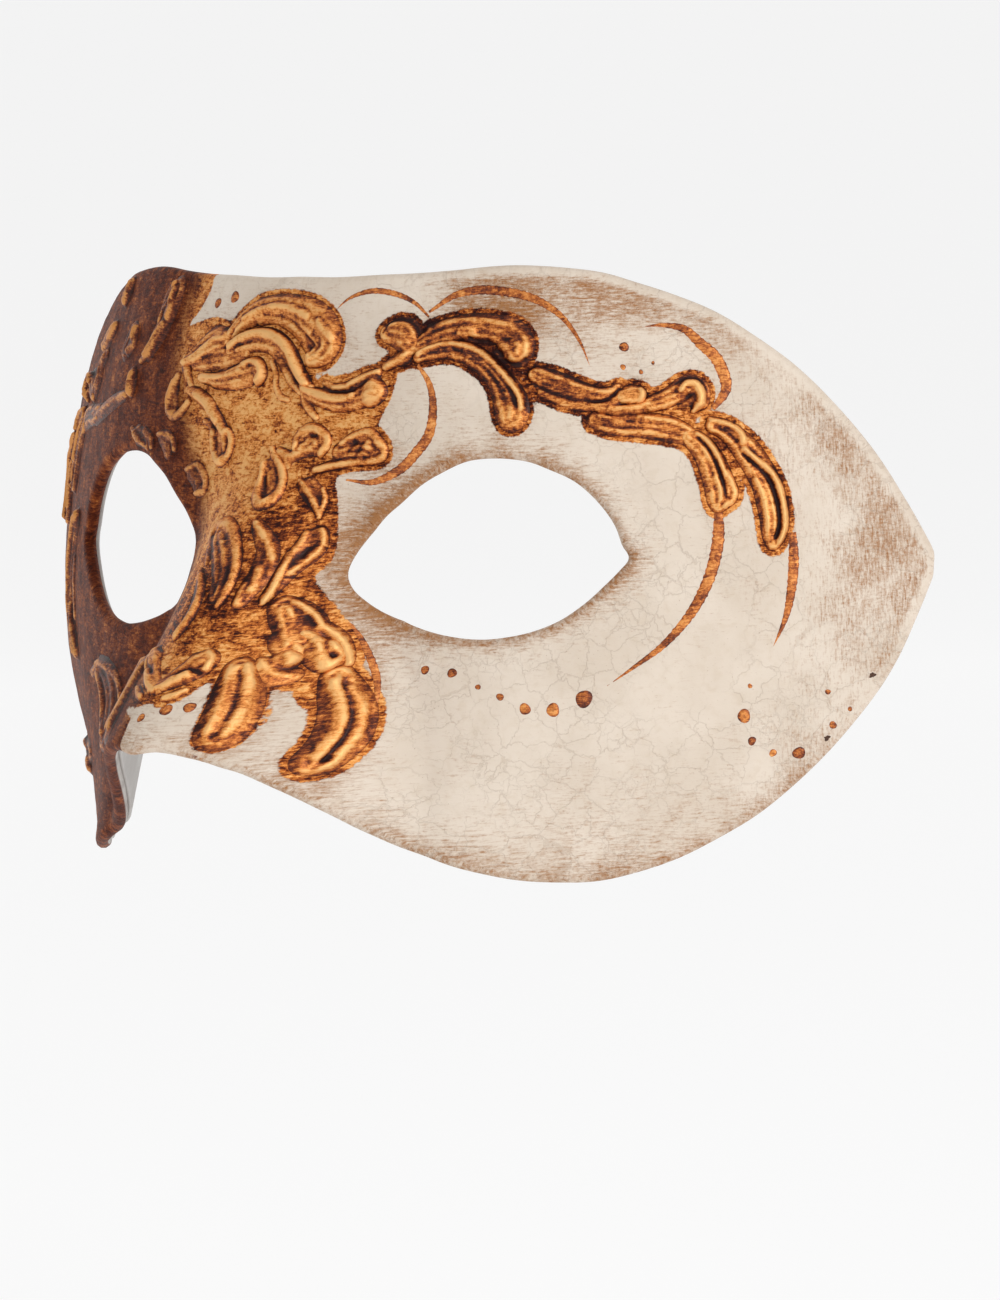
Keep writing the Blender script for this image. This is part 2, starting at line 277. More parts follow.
        ("r", 0.45, [(11.35, -10.8, 0.33), (12.15, -12.93, 0.36), (13.05, -15.06, 0.4), (13.95, -16.9, 0.36), (14.76, -18.43, 0.3)]),
        ("b", 0.3, [(15.85, -14.15, 0.82), (17.04, -15.15, 0.82), (18.15, -16.58, 0.82), (19.08, -18.43, 0.66), (19.42, -19.79, 0.49)]),
        ("r", 0.6, [(11.74, -10.1, 0.33), (12.94, -10.94, 0.39), (14.09, -12.07, 0.43), (15.12, -13.5, 0.4), (16.06, -14.62, 0.4), (17.12, -15.45, 0.39), (18.09, -16.72, 0.43), (18.99, -18.42, 0.39), (19.42, -19.79, 0.33)]),
        ("g", 0.35, [(13.69, -12.33, 0.3), (14.72, -13.75, 0.33)]),
    ],
    "left_cheek_bead_inner": [
        ("b", 0.9, [(13.25, -18.42, 1.33), (13.76, -18.61, 1.33)]),
        ("r", 0.5, [(13.43, -17.86, 0.5), (13.99, -18.78, 0.57), (13.9, -19.35, 0.4)]),
        ("b", 0.4, [(11.62, -18.98, 1.0), (12.4, -20.2, 1.16), (13.56, -21.04, 1.33), (14.59, -21.0, 1.17)]),
        ("r", 0.3, [(11.04, -18.35, 0.33), (12.06, -19.74, 0.4), (13.28, -20.72, 0.4), (14.41, -20.98, 0.37)]),
    ],
    "left_cheek_bead_outer": [
        ("b", 0.8, [(15.44, -16.76, 1.32), (16.43, -17.73, 1.82), (17.23, -18.69, 1.82), (17.33, -19.72, 1.16)]),
        ("b", 0.4, [(13.81, -14.84, 0.66), (14.6, -15.36, 0.83), (15.23, -16.0, 0.83)]),
        ("r", 0.6, [(13.91, -14.85, 0.4), (14.56, -15.21, 0.5), (15.42, -16.02, 0.5), (16.08, -17.11, 0.5)]),
        ("r", 0.7, [(17.03, -16.91, 0.66), (17.28, -17.53, 0.66)]),
        ("r", 0.5, [(16.1, -17.84, 0.5), (16.85, -19.23, 0.56), (17.69, -20.05, 0.5), (18.0, -19.21, 0.43)]),
        ("g", 0.5, [(16.38, -16.56, 0.33), (16.89, -17.78, 0.4), (17.69, -18.74, 0.36)]),
    ],
    "left_cheek_drop_inner": [
        ("b", 0.7, [(9.28, -19.35, 1.5), (10.17, -21.7, 2.16), (10.83, -24.32, 2.48), (10.99, -26.76, 2.62), (10.85, -28.76, 2.43), (10.7, -29.61, 1.45)]),
        ("r", 0.6, [(8.89, -19.89, 0.67), (9.49, -22.22, 0.91), (9.77, -24.51, 0.99), (9.74, -26.65, 0.98), (9.65, -28.22, 0.81)]),
        ("r", 0.8, [(10.09, -19.41, 0.5), (10.89, -21.62, 0.6), (11.43, -23.95, 0.63), (11.65, -25.97, 0.66), (11.59, -27.82, 0.59), (11.34, -29.24, 0.48)]),
        ("g", 0.45, [(9.61, -19.95, 0.33), (10.49, -22.59, 0.4), (10.94, -24.9, 0.43), (10.9, -27.04, 0.39)]),
    ],
    "left_cheek_drop_outer": [
        ("b", 0.7, [(18.78, -21.47, 1.49), (19.95, -23.92, 1.99), (20.99, -26.36, 2.31), (21.43, -28.75, 2.46), (21.26, -30.93, 2.44), (20.56, -32.75, 2.27), (19.85, -33.99, 2.1), (19.38, -34.67, 1.29)]),
        ("r", 0.8, [(18.66, -22.33, 0.46), (19.66, -24.47, 0.56), (20.48, -26.74, 0.63), (20.86, -28.82, 0.66), (20.65, -30.7, 0.65), (20.09, -32.24, 0.62), (19.56, -33.5, 0.49)]),
        ("r", 0.6, [(20.32, -23.67, 0.5), (21.43, -25.69, 0.59), (22.17, -27.81, 0.66), (22.26, -30.02, 0.65), (21.81, -31.89, 0.58), (21.19, -33.29, 0.49)]),
        ("g", 0.5, [(19.46, -22.71, 0.33), (20.7, -25.17, 0.43), (21.44, -27.58, 0.49), (21.52, -30.08, 0.49), (21.03, -32.08, 0.49), (20.31, -33.91, 0.42)]),
        ("r", 0.5, [(20.21, -35.09, 0.48), (20.94, -34.59, 0.55), (21.47, -33.62, 0.42)]),
    ],
    "left_nose_side_leaf": [
        ("b", 0.6, [(-0.8, -22.17, 0.84), (1.0, -21.39, 1.15), (2.87, -20.23, 1.61), (4.41, -18.96, 1.9), (5.09, -18.26, 1.71)]),
        ("r", 0.6, [(0.16, -22.56, 0.4), (1.56, -21.95, 0.48), (2.69, -20.94, 0.54), (3.8, -20.09, 0.52)]),
        ("r", 0.6, [(5.05, -16.83, 0.44), (5.77, -18.14, 0.51), (6.01, -19.44, 0.47)]),
        ("r", 0.5, [(3.76, -17.95, 0.87), (4.7, -17.97, 1.03)]),
        ("g", 0.5, [(2.57, -20.23, 0.36), (3.9, -19.52, 0.35), (5.42, -19.99, 0.34)]),
        ("b", 0.3, [(2.45, -23.36, 0.54), (3.82, -22.94, 0.69), (4.86, -22.39, 0.51)]),
        ("r", 0.4, [(2.22, -23.51, 0.36), (3.61, -23.08, 0.42), (4.86, -22.39, 0.34)]),
    ],
    "right_forehead_leaf": [
        ("b", 0.6, [(-32.2, 38.4, 1.89), (-33.2, 36.4, 2.38), (-34.2, 34.4, 2.41), (-35.0, 32.4, 2.19), (-36.6, 30.2, 1.98), (-38.2, 28.0, 1.52)]),
        ("r", 0.8, [(-33.2, 39.0, 0.57), (-33.0, 37.2, 0.71), (-32.8, 35.4, 0.71), (-33.4, 33.8, 0.67)]),
        ("r", 0.8, [(-34.2, 32.4, 0.58), (-35.6, 30.8, 0.68), (-36.8, 29.0, 0.69), (-38.4, 27.6, 0.66), (-40.8, 26.4, 0.52)]),
        ("r", 0.4, [(-35.2, 38.6, 0.49), (-36.2, 36.8, 0.54), (-36.4, 35.0, 0.54), (-36.2, 33.2, 0.49)]),
    ],
    "right_forehead_leaf_outer": [
        ("b", 0.6, [(-47.2, 31.2, 1.47), (-48.2, 29.6, 2.09), (-49.4, 28.0, 1.84)]),
        ("r", 0.7, [(-46.0, 31.6, 0.57), (-46.0, 30.2, 0.74), (-45.6, 29.0, 0.68), (-47.4, 27.6, 0.59)]),
    ],
    "right_forehead_drop": [
        ("b", 0.7, [(-43.4, 24.4, 1.09), (-43.0, 23.0, 1.49), (-42.8, 21.4, 1.08)]),
        ("r", 0.7, [(-42.8, 24.2, 0.54), (-43.0, 22.8, 0.81), (-42.8, 21.4, 0.65)]),
    ],
    "right_brow_line": [
        ("b", 0.3, [(-45.2, 20.6, 0.84), (-49.0, 19.8, 1.21), (-54.4, 18.2, 1.37), (-61.6, 16.4, 1.51)]),
        ("r", 0.5, [(-44.4, 21.0, 0.55), (-47.2, 20.4, 0.64), (-51.8, 19.4, 0.71), (-57.2, 17.6, 0.8), (-64.2, 16.0, 0.76)]),
    ],
    "right_lid_leaf_a": [
        ("b", 0.4, [(-37.4, 14.6, 1.49), (-34.6, 13.4, 1.68), (-33.6, 12.4, 0.95)]),
        ("r", 0.6, [(-39.8, 15.4, 0.46), (-37.2, 14.0, 0.55), (-35.0, 12.8, 0.53)]),
        ("r", 0.6, [(-34.8, 15.4, 0.48), (-32.6, 14.2, 0.56), (-32.0, 12.8, 0.51)]),
    ],
    "right_lid_leaf_b": [
        ("b", 0.4, [(-29.0, 14.4, 1.13), (-27.2, 13.2, 1.33), (-26.6, 12.0, 1.1)]),
        ("r", 0.6, [(-30.4, 14.8, 0.41), (-27.4, 15.0, 0.49), (-25.4, 14.0, 0.52), (-24.8, 12.6, 0.48)]),
    ],
    "right_socket_curl": [
        ("b", 0.5, [(-19.4, 8.8, 1.24), (-17.6, 7.6, 1.44), (-17.2, 6.4, 1.27)]),
        ("r", 0.7, [(-20.8, 9.4, 0.42), (-19.6, 10.0, 0.5), (-18.0, 10.2, 0.53), (-16.2, 9.0, 0.6), (-15.2, 7.4, 0.64), (-16.0, 6.0, 0.6), (-17.4, 5.6, 0.42)]),
    ],
    "right_edge_leaf_a": [
        ("b", 0.6, [(-55.6, 38.8, 1.06), (-56.8, 37.2, 1.45), (-57.4, 35.8, 1.1)]),
        ("r", 0.6, [(-56.2, 38.6, 0.72), (-56.6, 37.0, 0.87), (-57.4, 35.8, 0.74)]),
    ],
    "right_edge_leaf_b": [
        ("b", 0.6, [(-60.6, 31.4, 1.13), (-63.4, 29.8, 1.7), (-66.4, 28.0, 1.52)]),
        ("r", 0.6, [(-60.4, 31.4, 0.75), (-63.0, 29.6, 0.98), (-66.0, 27.8, 0.76)]),
    ],
    "right_edge_stem": [
        ("b", 0.5, [(-63.2, 26.8, 1.13), (-65.4, 25.0, 1.33), (-65.8, 22.8, 1.52), (-67.4, 20.6, 1.52)]),
        ("r", 0.5, [(-63.8, 26.4, 0.68), (-66.0, 24.6, 0.83), (-66.2, 22.2, 0.83), (-68.4, 20.4, 0.76)]),
    ],
    "right_cheek_drop_outer": [
        ("b", 0.6, [(-45.8, -24.4, 1.96), (-41.8, -26.0, 3.12), (-39.2, -28.6, 3.37), (-38.8, -31.6, 3.21), (-39.6, -34.4, 2.81), (-40.4, -35.8, 1.85)]),
        ("r", 0.6, [(-51.2, -25.6, 0.74), (-47.2, -24.0, 0.73), (-42.6, -23.6, 0.73), (-38.2, -24.4, 0.68), (-35.4, -26.4, 0.65), (-34.0, -28.6, 0.63)]),
        ("r", 0.7, [(-45.8, -25.2, 0.66), (-43.4, -27.2, 0.79), (-41.2, -29.6, 0.79), (-40.4, -32.2, 0.82), (-40.4, -34.4, 0.72)]),
    ],
    "right_cheek_leaf": [
        ("b", 0.6, [(-63.8, -38.8, 1.14), (-61.6, -40.8, 1.52), (-61.0, -42.6, 1.52)]),
        ("r", 0.5, [(-63.2, -38.6, 0.68), (-57.0, -39.6, 0.75), (-61.2, -41.8, 0.76), (-60.0, -42.8, 0.68)]),
    ],
    "right_temple_scroll": [
        ("b", 0.6, [(-70.0, -1.0, 1.6), (-73.0, -6.0, 2.0), (-75.0, -12.0, 2.2), (-74.0, -19.0, 2.2), (-70.0, -24.0, 1.6)]),
        ("r", 0.8, [(-69.5, -0.5, 0.7), (-73.0, -5.0, 0.9), (-75.2, -12.0, 1.0), (-74.0, -18.0, 1.0), (-70.0, -24.0, 0.8)]),
        ("r", 0.5, [(-71.0, -8.0, 0.6), (-72.0, -13.0, 0.7), (-71.0, -18.0, 0.6)]),
    ],
    "right_temple_hook": [
        ("b", 0.8, [(-68.31, 19.66, 1.26), (-70.42, 20.22, 1.42), (-72.38, 20.93, 1.74), (-74.17, 21.49, 2.22), (-75.61, 21.44, 2.06), (-76.01, 20.03, 1.59)]),
        ("r", 0.9, [(-73.06, 21.68, 0.41), (-74.23, 22.57, 0.48), (-75.5, 22.38, 0.57), (-76.24, 21.27, 0.63), (-76.33, 20.02, 0.63), (-75.64, 18.96, 0.54), (-74.97, 18.36, 0.38)]),
        ("g", 0.5, [(-68.89, 18.1, 0.32), (-70.99, 18.65, 0.35), (-72.96, 19.67, 0.38), (-74.61, 20.7, 0.48)]),
        ("g", 0.4, [(-72.46, 22.63, 0.25), (-74.12, 23.51, 0.29), (-75.87, 23.29, 0.29), (-77.07, 21.86, 0.29), (-77.12, 19.69, 0.29)]),
    ],
    "right_temple_underleaf": [
        ("b", 0.55, [(-59.23, 17.45, 1.26), (-61.95, 16.76, 1.58), (-65.14, 16.51, 1.73), (-68.33, 16.25, 1.89), (-71.17, 15.7, 1.89), (-73.36, 14.85, 1.58)]),
        ("r", 0.3, [(-60.06, 18.05, 0.38), (-61.97, 17.37, 0.41), (-63.88, 16.85, 0.35)]),
        ("r", 0.35, [(-60.0, 16.19, 0.31), (-63.19, 15.48, 0.38), (-67.17, 15.36, 0.38), (-70.33, 14.64, 0.38)]),
        ("r", 0.3, [(-66.48, 17.86, 0.32), (-69.65, 17.3, 0.38), (-72.8, 16.42, 0.38), (-75.12, 15.1, 0.32)]),
    ],
    "right_tail_leaf_short": [
        ("b", 0.8, [(-73.97, 14.36, 1.26), (-75.81, 12.91, 1.74), (-77.15, 11.0, 2.05), (-78.0, 8.8, 2.21), (-78.53, 6.6, 2.21), (-78.44, 4.74, 1.89), (-78.24, 3.66, 1.26)]),
        ("r", 0.8, [(-75.43, 14.94, 0.38), (-76.81, 13.8, 0.44), (-77.99, 12.06, 0.47), (-78.85, 10.16, 0.47), (-79.56, 8.27, 0.47)]),
        ("r", 0.8, [(-79.9, 8.73, 0.38), (-80.61, 7.15, 0.47), (-81.01, 5.58, 0.5), (-80.48, 4.2, 0.47), (-79.33, 3.47, 0.38)]),
        ("g", 0.5, [(-75.4, 14.32, 0.28), (-76.76, 12.87, 0.35), (-77.78, 10.98, 0.35), (-78.49, 9.09, 0.35), (-79.17, 6.89, 0.35), (-79.56, 4.86, 0.32)]),
        ("r", 0.35, [(-77.79, 7.87, 0.38), (-78.51, 6.14, 0.41), (-78.75, 4.57, 0.35)]),
    ],
    "right_tail_leaf_long": [
        ("b", 0.85, [(-77.87, 15.94, 1.11), (-79.75, 15.25, 1.43), (-81.44, 13.95, 1.74), (-83.09, 12.03, 2.06), (-84.71, 9.49, 2.14), (-86.0, 6.8, 2.22), (-86.65, 3.97, 2.21), (-87.01, 1.31, 2.13), (-86.91, -0.87, 1.9), (-86.68, -2.42, 1.26)]),
        ("r", 0.8, [(-77.45, 17.04, 0.35), (-79.19, 16.67, 0.41), (-81.06, 15.83, 0.48), (-82.27, 14.7, 0.51), (-82.68, 13.29, 0.48)]),
        ("r", 0.9, [(-82.61, 12.05, 0.41), (-84.13, 10.75, 0.44), (-85.81, 9.29, 0.48), (-87.32, 7.68, 0.51), (-88.18, 5.78, 0.54), (-88.55, 3.59, 0.54), (-88.76, 1.4, 0.54), (-88.51, -0.62, 0.51), (-87.64, -2.3, 0.44)]),
        ("g", 0.55, [(-78.19, 15.93, 0.35), (-80.05, 14.93, 0.41), (-81.57, 13.48, 0.38)]),
        ("g", 0.55, [(-82.42, 11.43, 0.32), (-84.55, 9.49, 0.38), (-86.19, 7.41, 0.47), (-87.19, 5.04, 0.54), (-87.7, 2.53, 0.54), (-87.58, 0.04, 0.47), (-86.86, -1.8, 0.35)]),
        ("r", 0.4, [(-84.28, 7.33, 0.47), (-85.42, 4.64, 0.54), (-85.77, 1.98, 0.54), (-85.82, -0.2, 0.44)]),
    ],
    "right_nose_side_leaf": [
        ("b", 0.6, [(0.8, -22.17, 0.84), (-1.0, -21.39, 1.15), (-2.87, -20.23, 1.61), (-4.41, -18.96, 1.9), (-5.09, -18.26, 1.71)]),
        ("r", 0.6, [(-0.16, -22.56, 0.4), (-1.56, -21.95, 0.48), (-2.69, -20.94, 0.54), (-3.8, -20.09, 0.52)]),
        ("r", 0.6, [(-5.05, -16.83, 0.44), (-5.77, -18.14, 0.51), (-6.01, -19.44, 0.47)]),
        ("r", 0.5, [(-3.76, -17.95, 0.87), (-4.7, -17.97, 1.03)]),
        ("g", 0.5, [(-2.57, -20.23, 0.36), (-3.9, -19.52, 0.35), (-5.42, -19.99, 0.34)]),
        ("b", 0.3, [(-2.45, -23.36, 0.54), (-3.82, -22.94, 0.69), (-4.86, -22.39, 0.51)]),
        ("r", 0.4, [(-2.22, -23.51, 0.36), (-3.61, -23.08, 0.42), (-4.86, -22.39, 0.34)]),
    ],
    "right_cheek_drop_inner": [
        ("b", 0.7, [(-9.28, -19.35, 1.5), (-10.17, -21.7, 2.16), (-10.83, -24.32, 2.48), (-10.99, -26.76, 2.62), (-10.85, -28.76, 2.43), (-10.7, -29.61, 1.45)]),
        ("r", 0.6, [(-8.89, -19.89, 0.67), (-9.49, -22.22, 0.91), (-9.77, -24.51, 0.99), (-9.74, -26.65, 0.98), (-9.65, -28.22, 0.81)]),
        ("r", 0.8, [(-10.09, -19.41, 0.5), (-10.89, -21.62, 0.6), (-11.43, -23.95, 0.63), (-11.65, -25.97, 0.66), (-11.59, -27.82, 0.59), (-11.34, -29.24, 0.48)]),
        ("g", 0.45, [(-9.61, -19.95, 0.33), (-10.49, -22.59, 0.4), (-10.94, -24.9, 0.43), (-10.9, -27.04, 0.39)]),
    ],
}
FLOURISHES = [
    ([(8.72, 34.82), (11.63, 37.01), (16.11, 38.08), (20.72, 37.57), (24.54, 36.14), (27.39, 33.93)], 1.05, 0.05, 0.4, 0.5),
    ([(27.32, 34.71), (32.08, 37.29), (37.14, 37.99), (43.28, 37.26), (47.73, 35.77), (51.38, 33.21), (54.05, 29.58), (55.78, 25.36)], 1.65, 0.3, 0.05, 0.35),
    ([(26.03, 26.47), (28.21, 23.66), (29.14, 20.07), (28.66, 15.72), (26.36, 12.62), (23.66, 10.12), (19.1, 8.23), (14.39, 8.54)], 1.98, 0.3, 0.15, 0.5),
    ([(64.57, 31.62), (67.68, 31.83), (71.22, 31.1), (73.83, 28.69), (76.11, 26.44), (77.37, 23.3), (77.24, 21.13), (75.17, 18.56)], 2.21, 0.03, 0.35, 0.7),
    ([(75.3, 3.4), (75.0, -2.0), (73.4, -7.6), (70.4, -13.0), (66.0, -17.8), (61.2, -21.2), (57.0, -24.0)], 2.19, 0.55, 0.03, 0.15),
    ([(86.9, -1.0), (86.8, -6.0), (86.2, -10.5), (85.2, -14.5), (83.1, -19.0)], 1.89, 0.6, 0.03, 0.25),
    ([(17.36, -12.8), (19.85, -16.27), (22.42, -21.53), (23.25, -24.84), (23.53, -27.52)], 0.97, 0.15, 0.05, 0.55),
]
DOTS = [(-19.13, 36.14, 0.85), (-14.82, 37.13, 1.03), (61.32, 28.61, 0.8), (61.04, 25.52, 0.48), (63.92, 24.66, 0.4), (65.93, 26.0, 0.32), (28.92, -21.06, 0.71), (33.24, -21.51, 0.78), (37.32, -23.7, 0.46), (40.68, -25.3, 0.61), (44.43, -27.25, 0.92), (48.65, -27.51, 1.08), (53.41, -25.92, 1.39), (0.07, -26.28, 0.67), (3.54, -25.08, 0.85), (6.38, -24.79, 0.77), (79.41, -24.9, 0.4), (78.4, -29.65, 1.12), (79.65, -33.72, 0.72), (83.01, -35.81, 0.64), (87.17, -35.99, 1.04), (91.79, -26.39, 0.48), (92.57, -31.71, 0.64), (95.28, -29.26, 0.4)]
CHIPS = [(91.63, -33.76, 0.48), (98.9, -24.0, 0.48)]
GOLD_ZONE = [[-22.21, 41.71], [-21.67, 38.99], [-23.49, 35.29], [-26.1, 32.52], [-19.48, 33.9], [-13.42, 33.48], [-7.69, 36.22], [1.09, 36.4], [8.16, 33.26], [9.64, 29.18], [6.71, 26.98], [4.46, 25.39], [5.91, 23.99], [12.4, 25.11], [17.51, 26.04], [22.08, 25.4], [21.35, 21.04], [19.45, 17.14], [21.08, 14.8], [21.26, 11.68], [14.09, 9.79], [12.74, 8.86], [13.53, 5.44], [13.92, 2.33], [14.22, -1.54], [14.11, -4.13], [12.95, -6.17], [14.06, -8.35], [15.87, -10.59], [17.43, -13.1], [18.34, -16.15], [18.5, -19.4], [17.53, -20.76], [17.85, -23.39], [17.72, -26.25], [16.49, -25.38], [15.14, -22.78], [13.62, -22.04], [11.96, -21.3], [9.71, -19.96], [8.07, -20.41], [6.87, -21.62], [3.76, -23.08], [0.44, -24.26], [-5.85, -25.18], [-2.0, -26.5], [-3.0, -76.0], [-130.0, -76.0], [-130.0, 60.0], [-22.3, 60.0]]
CAM_C = (590.0519423, -703.1965217, 72.6550658)
CAM_R = (0.79207580, 0.60970680, -0.02955593)
CAM_U = (-0.03800734, 0.09758479, 0.99450121)
CAM_B = (0.60923836, -0.78659699, 0.10046788)
CAM_F = 5757.64


# ---------------------------------------------------------------- the surface
def natural_spline(x, y):
    """Natural cubic spline through the points, as a function."""
    x, y = np.asarray(x, float), np.asarray(y, float)
    n = len(x)
    h = np.diff(x)
    a = np.zeros((n, n))
    r = np.zeros(n)
    a[0, 0] = a[-1, -1] = 1.0
    for i in range(1, n - 1):
        a[i, i - 1], a[i, i], a[i, i + 1] = h[i - 1], 2 * (h[i - 1] + h[i]), h[i]
        r[i] = 6 * ((y[i + 1] - y[i]) / h[i] - (y[i] - y[i - 1]) / h[i - 1])
    m = np.linalg.solve(a, r)

    def value(t):
        t = np.clip(np.asarray(t, float), x[0], x[-1])
        i = np.clip(np.searchsorted(x, t) - 1, 0, n - 2)
        u, v = x[i + 1] - t, t - x[i]
        return (m[i] * u ** 3 + m[i + 1] * v ** 3) / (6 * h[i]) + (y[i] / h[i] - m[i] * h[i] / 6) * u + (
            y[i + 1] / h[i] - m[i + 1] * h[i] / 6) * v

    return value


S_FINE = np.linspace(0, 150, 1501)
heading_fn = natural_spline(np.arange(len(HEADING_DEG)) * HEADING_STEP, np.radians(HEADING_DEG))
flare_fn = natural_spline(np.arange(len(CHEEK_FLARE)) * HEADING_STEP, CHEEK_FLARE)
nose_fn = natural_spline(NOSE_Z, NOSE_HEIGHT)
width_fn = natural_spline(NOSE_Z, NOSE_HALF_WIDTH)
HEADING = heading_fn(S_FINE)
BASE_X = np.concatenate([[0], np.cumsum((np.cos(HEADING[1:]) + np.cos(HEADING[:-1])) * 0.05)])
BASE_Y = np.concatenate([[0], np.cumsum((np.sin(HEADING[1:]) + np.sin(HEADING[:-1])) * 0.05)])


def raw(s, z):
    """Outer surface before it is moved to the origin."""
    s, z = np.broadcast_arrays(np.asarray(s, float), np.asarray(z, float))
    a = np.abs(s)
    side = np.where(s < 0, -1.0, 1.0)
    x, y, p = (np.interp(a, S_FINE, t) for t in (BASE_X, BASE_Y, HEADING))
    q = np.clip((CHEEK_START - z) / CHEEK_FULL, 0, 1.3) ** CHEEK_POWER
    back = np.where(z > 0, BROW_LEAN, CHEEK_LEAN) * z * z / 1000 + TILT * z + flare_fn(a) * q
    r = np.clip(a / width_fn(z), 0, 1)
    nose = nose_fn(z) * (1 - r * r) ** 2
    return np.stack([side * (x - np.sin(p) * back), y + np.cos(p) * back - nose, z], -1)


BRIDGE_Y = float(raw(0, 0)[1]) + SHELL_T + LINING_T     # inner side at the bridge


def outer(s, z):
    return raw(s, z) - np.array([0, BRIDGE_Y, 0])


def normal(s, z):
    """Unit normal that points out of the front."""
    h = 0.05
    du = outer(np.asarray(s) + h, z) - outer(np.asarray(s) - h, z)
    dv = outer(s, np.asarray(z) + h) - outer(s, np.asarray(z) - h)
    n = np.cross(du, dv)
    return n / np.linalg.norm(n, axis=-1, keepdims=True)


def wob(s, z):
    """Slight hand-made unevenness of the front, in mm."""
    return (0.055 * np.sin(0.31 * s + 0.9 * np.sin(0.17 * z)) * np.cos(0.27 * z + 0.4)
            + 0.035 * np.sin(0.83 * s + 1.3) * np.sin(0.71 * z + 0.6 * np.sin(0.4 * s))
            + 0.016 * np.sin(1.9 * s + 1.1 * np.sin(1.3 * z)) * np.cos(2.1 * z + 0.3))


def lay(s, z, off):
    """Points off mm outside the front, in metres."""
    s = np.asarray(s, float)
    z = np.asarray(z, float)
    return (outer(s, z) + np.asarray(off)[..., None] * normal(s, z)) * MM


# ---------------------------------------------------------------- plane curves
def dense(pts, closed=False, step=0.4):
    """Catmull-Rom curve through rows of numbers; the first two are (s, z)."""
    p = np.array(pts, float)
    n = len(p)
    if n == 1:
        p = np.vstack([p, p + 1e-3])
        n = 2
    out = []
    for i in range(n if closed else n - 1):
        p1, p2 = p[i], p[(i + 1) % n]
        p0 = p[(i - 1) % n] if closed or i > 0 else 2 * p1 - p2
        p3 = p[(i + 2) % n] if closed or i + 2 < n else 2 * p2 - p1
        m = max(1, int(np.ceil(np.hypot(*(p2 - p1)[:2]) / step)))
        t = (np.arange(m) / m)[:, None]
        out.append(0.5 * (2 * p1 + (p2 - p0) * t + (2 * p0 - 5 * p1 + 4 * p2 - p3) * t ** 2 + (3 * p1 - p0 - 3 * p2 + p3) * t ** 3))
    if not closed:
        out.append(p[-1:])
    return np.vstack(out)


def nearest(c, s, z):
    """Scaled distance (1 at the stroke's edge) and distance past the edge, to a stroke with rows (s, z, half width)."""
    rho = np.full(s.shape, 9.0)
    far = np.full(s.shape, 9.0)
    for i in range(len(c) - 1):
        a, b = c[i], c[i + 1]
        d = b[:2] - a[:2]
        l2 = max(float(d @ d), 1e-9)
        t = np.clip(((s - a[0]) * d[0] + (z - a[1]) * d[1]) / l2, 0, 1)
        w = np.maximum(a[2] + (b[2] - a[2]) * t, 0.12)
        q = np.hypot(s - a[0] - d[0] * t, z - a[1] - d[1] * t)
        rho = np.minimum(rho, q / w)
        far = np.minimum(far, q - w)
    return rho, far


def loop_distance(loop, s, z):
    """Signed distance to a closed loop, plus inside, and the nearest point on it."""
    a = np.asarray(loop)
    b = np.roll(a, -1, axis=0)
    best = np.full(s.shape, 1e9)
    near = np.zeros(s.shape + (2,))
    inside = np.zeros(s.shape, bool)
    for i in range(len(a)):
        d = b[i] - a[i]
        t = np.clip(((s - a[i, 0]) * d[0] + (z - a[i, 1]) * d[1]) / max(float(d @ d), 1e-12), 0, 1)
        qs, qz = a[i, 0] + d[0] * t, a[i, 1] + d[1] * t
        r = (s - qs) ** 2 + (z - qz) ** 2
        m = r < best
        best[m] = r[m]
        near[m, 0] = qs[m]
        near[m, 1] = qz[m]
        if a[i, 1] != b[i, 1]:
            m = (a[i, 1] > z) != (b[i, 1] > z)
            x = a[i, 0] + (z - a[i, 1]) / (b[i, 1] - a[i, 1]) * d[0]
            inside ^= m & (s < x)
    return np.where(inside, 1, -1) * np.sqrt(best), near


def inset(loop, d):
    """Closed loop moved d inwards (a negative d moves it out), its sharp corners kept in order."""
    a = np.asarray(loop)
    area = np.sum(a[:, 0] * np.roll(a[:, 1], -1) - np.roll(a[:, 0], -1) * a[:, 1])
    t = np.roll(a, -1, axis=0) - np.roll(a, 1, axis=0)
    t /= np.linalg.norm(t, axis=1, keepdims=True) + 1e-12
    n = np.stack([-t[:, 1], t[:, 0]], 1) * (1 if area > 0 else -1)
    m = a + d * n
    keep, _ = loop_distance(a, m[:, 0], m[:, 1])
    return m[np.abs(keep) > abs(d) * 0.96]


top = dense(TOP_EDGE, step=0.5)
low = dense(BOTTOM_EDGE, step=0.5)
right_side = np.vstack([top, low[::-1]])
left_side = right_side[::-1] * [-1, 1]
OUTLINE = np.vstack([right_side, left_side])
k_ = np.linalg.norm(OUTLINE - np.roll(OUTLINE, 1, axis=0), axis=1) > 0.05
OUTLINE = OUTLINE[k_]
EYE_L = dense(EYE_EDGE, closed=True, step=0.5)
EYE_R = EYE_L[::-1] * [-1, 1]


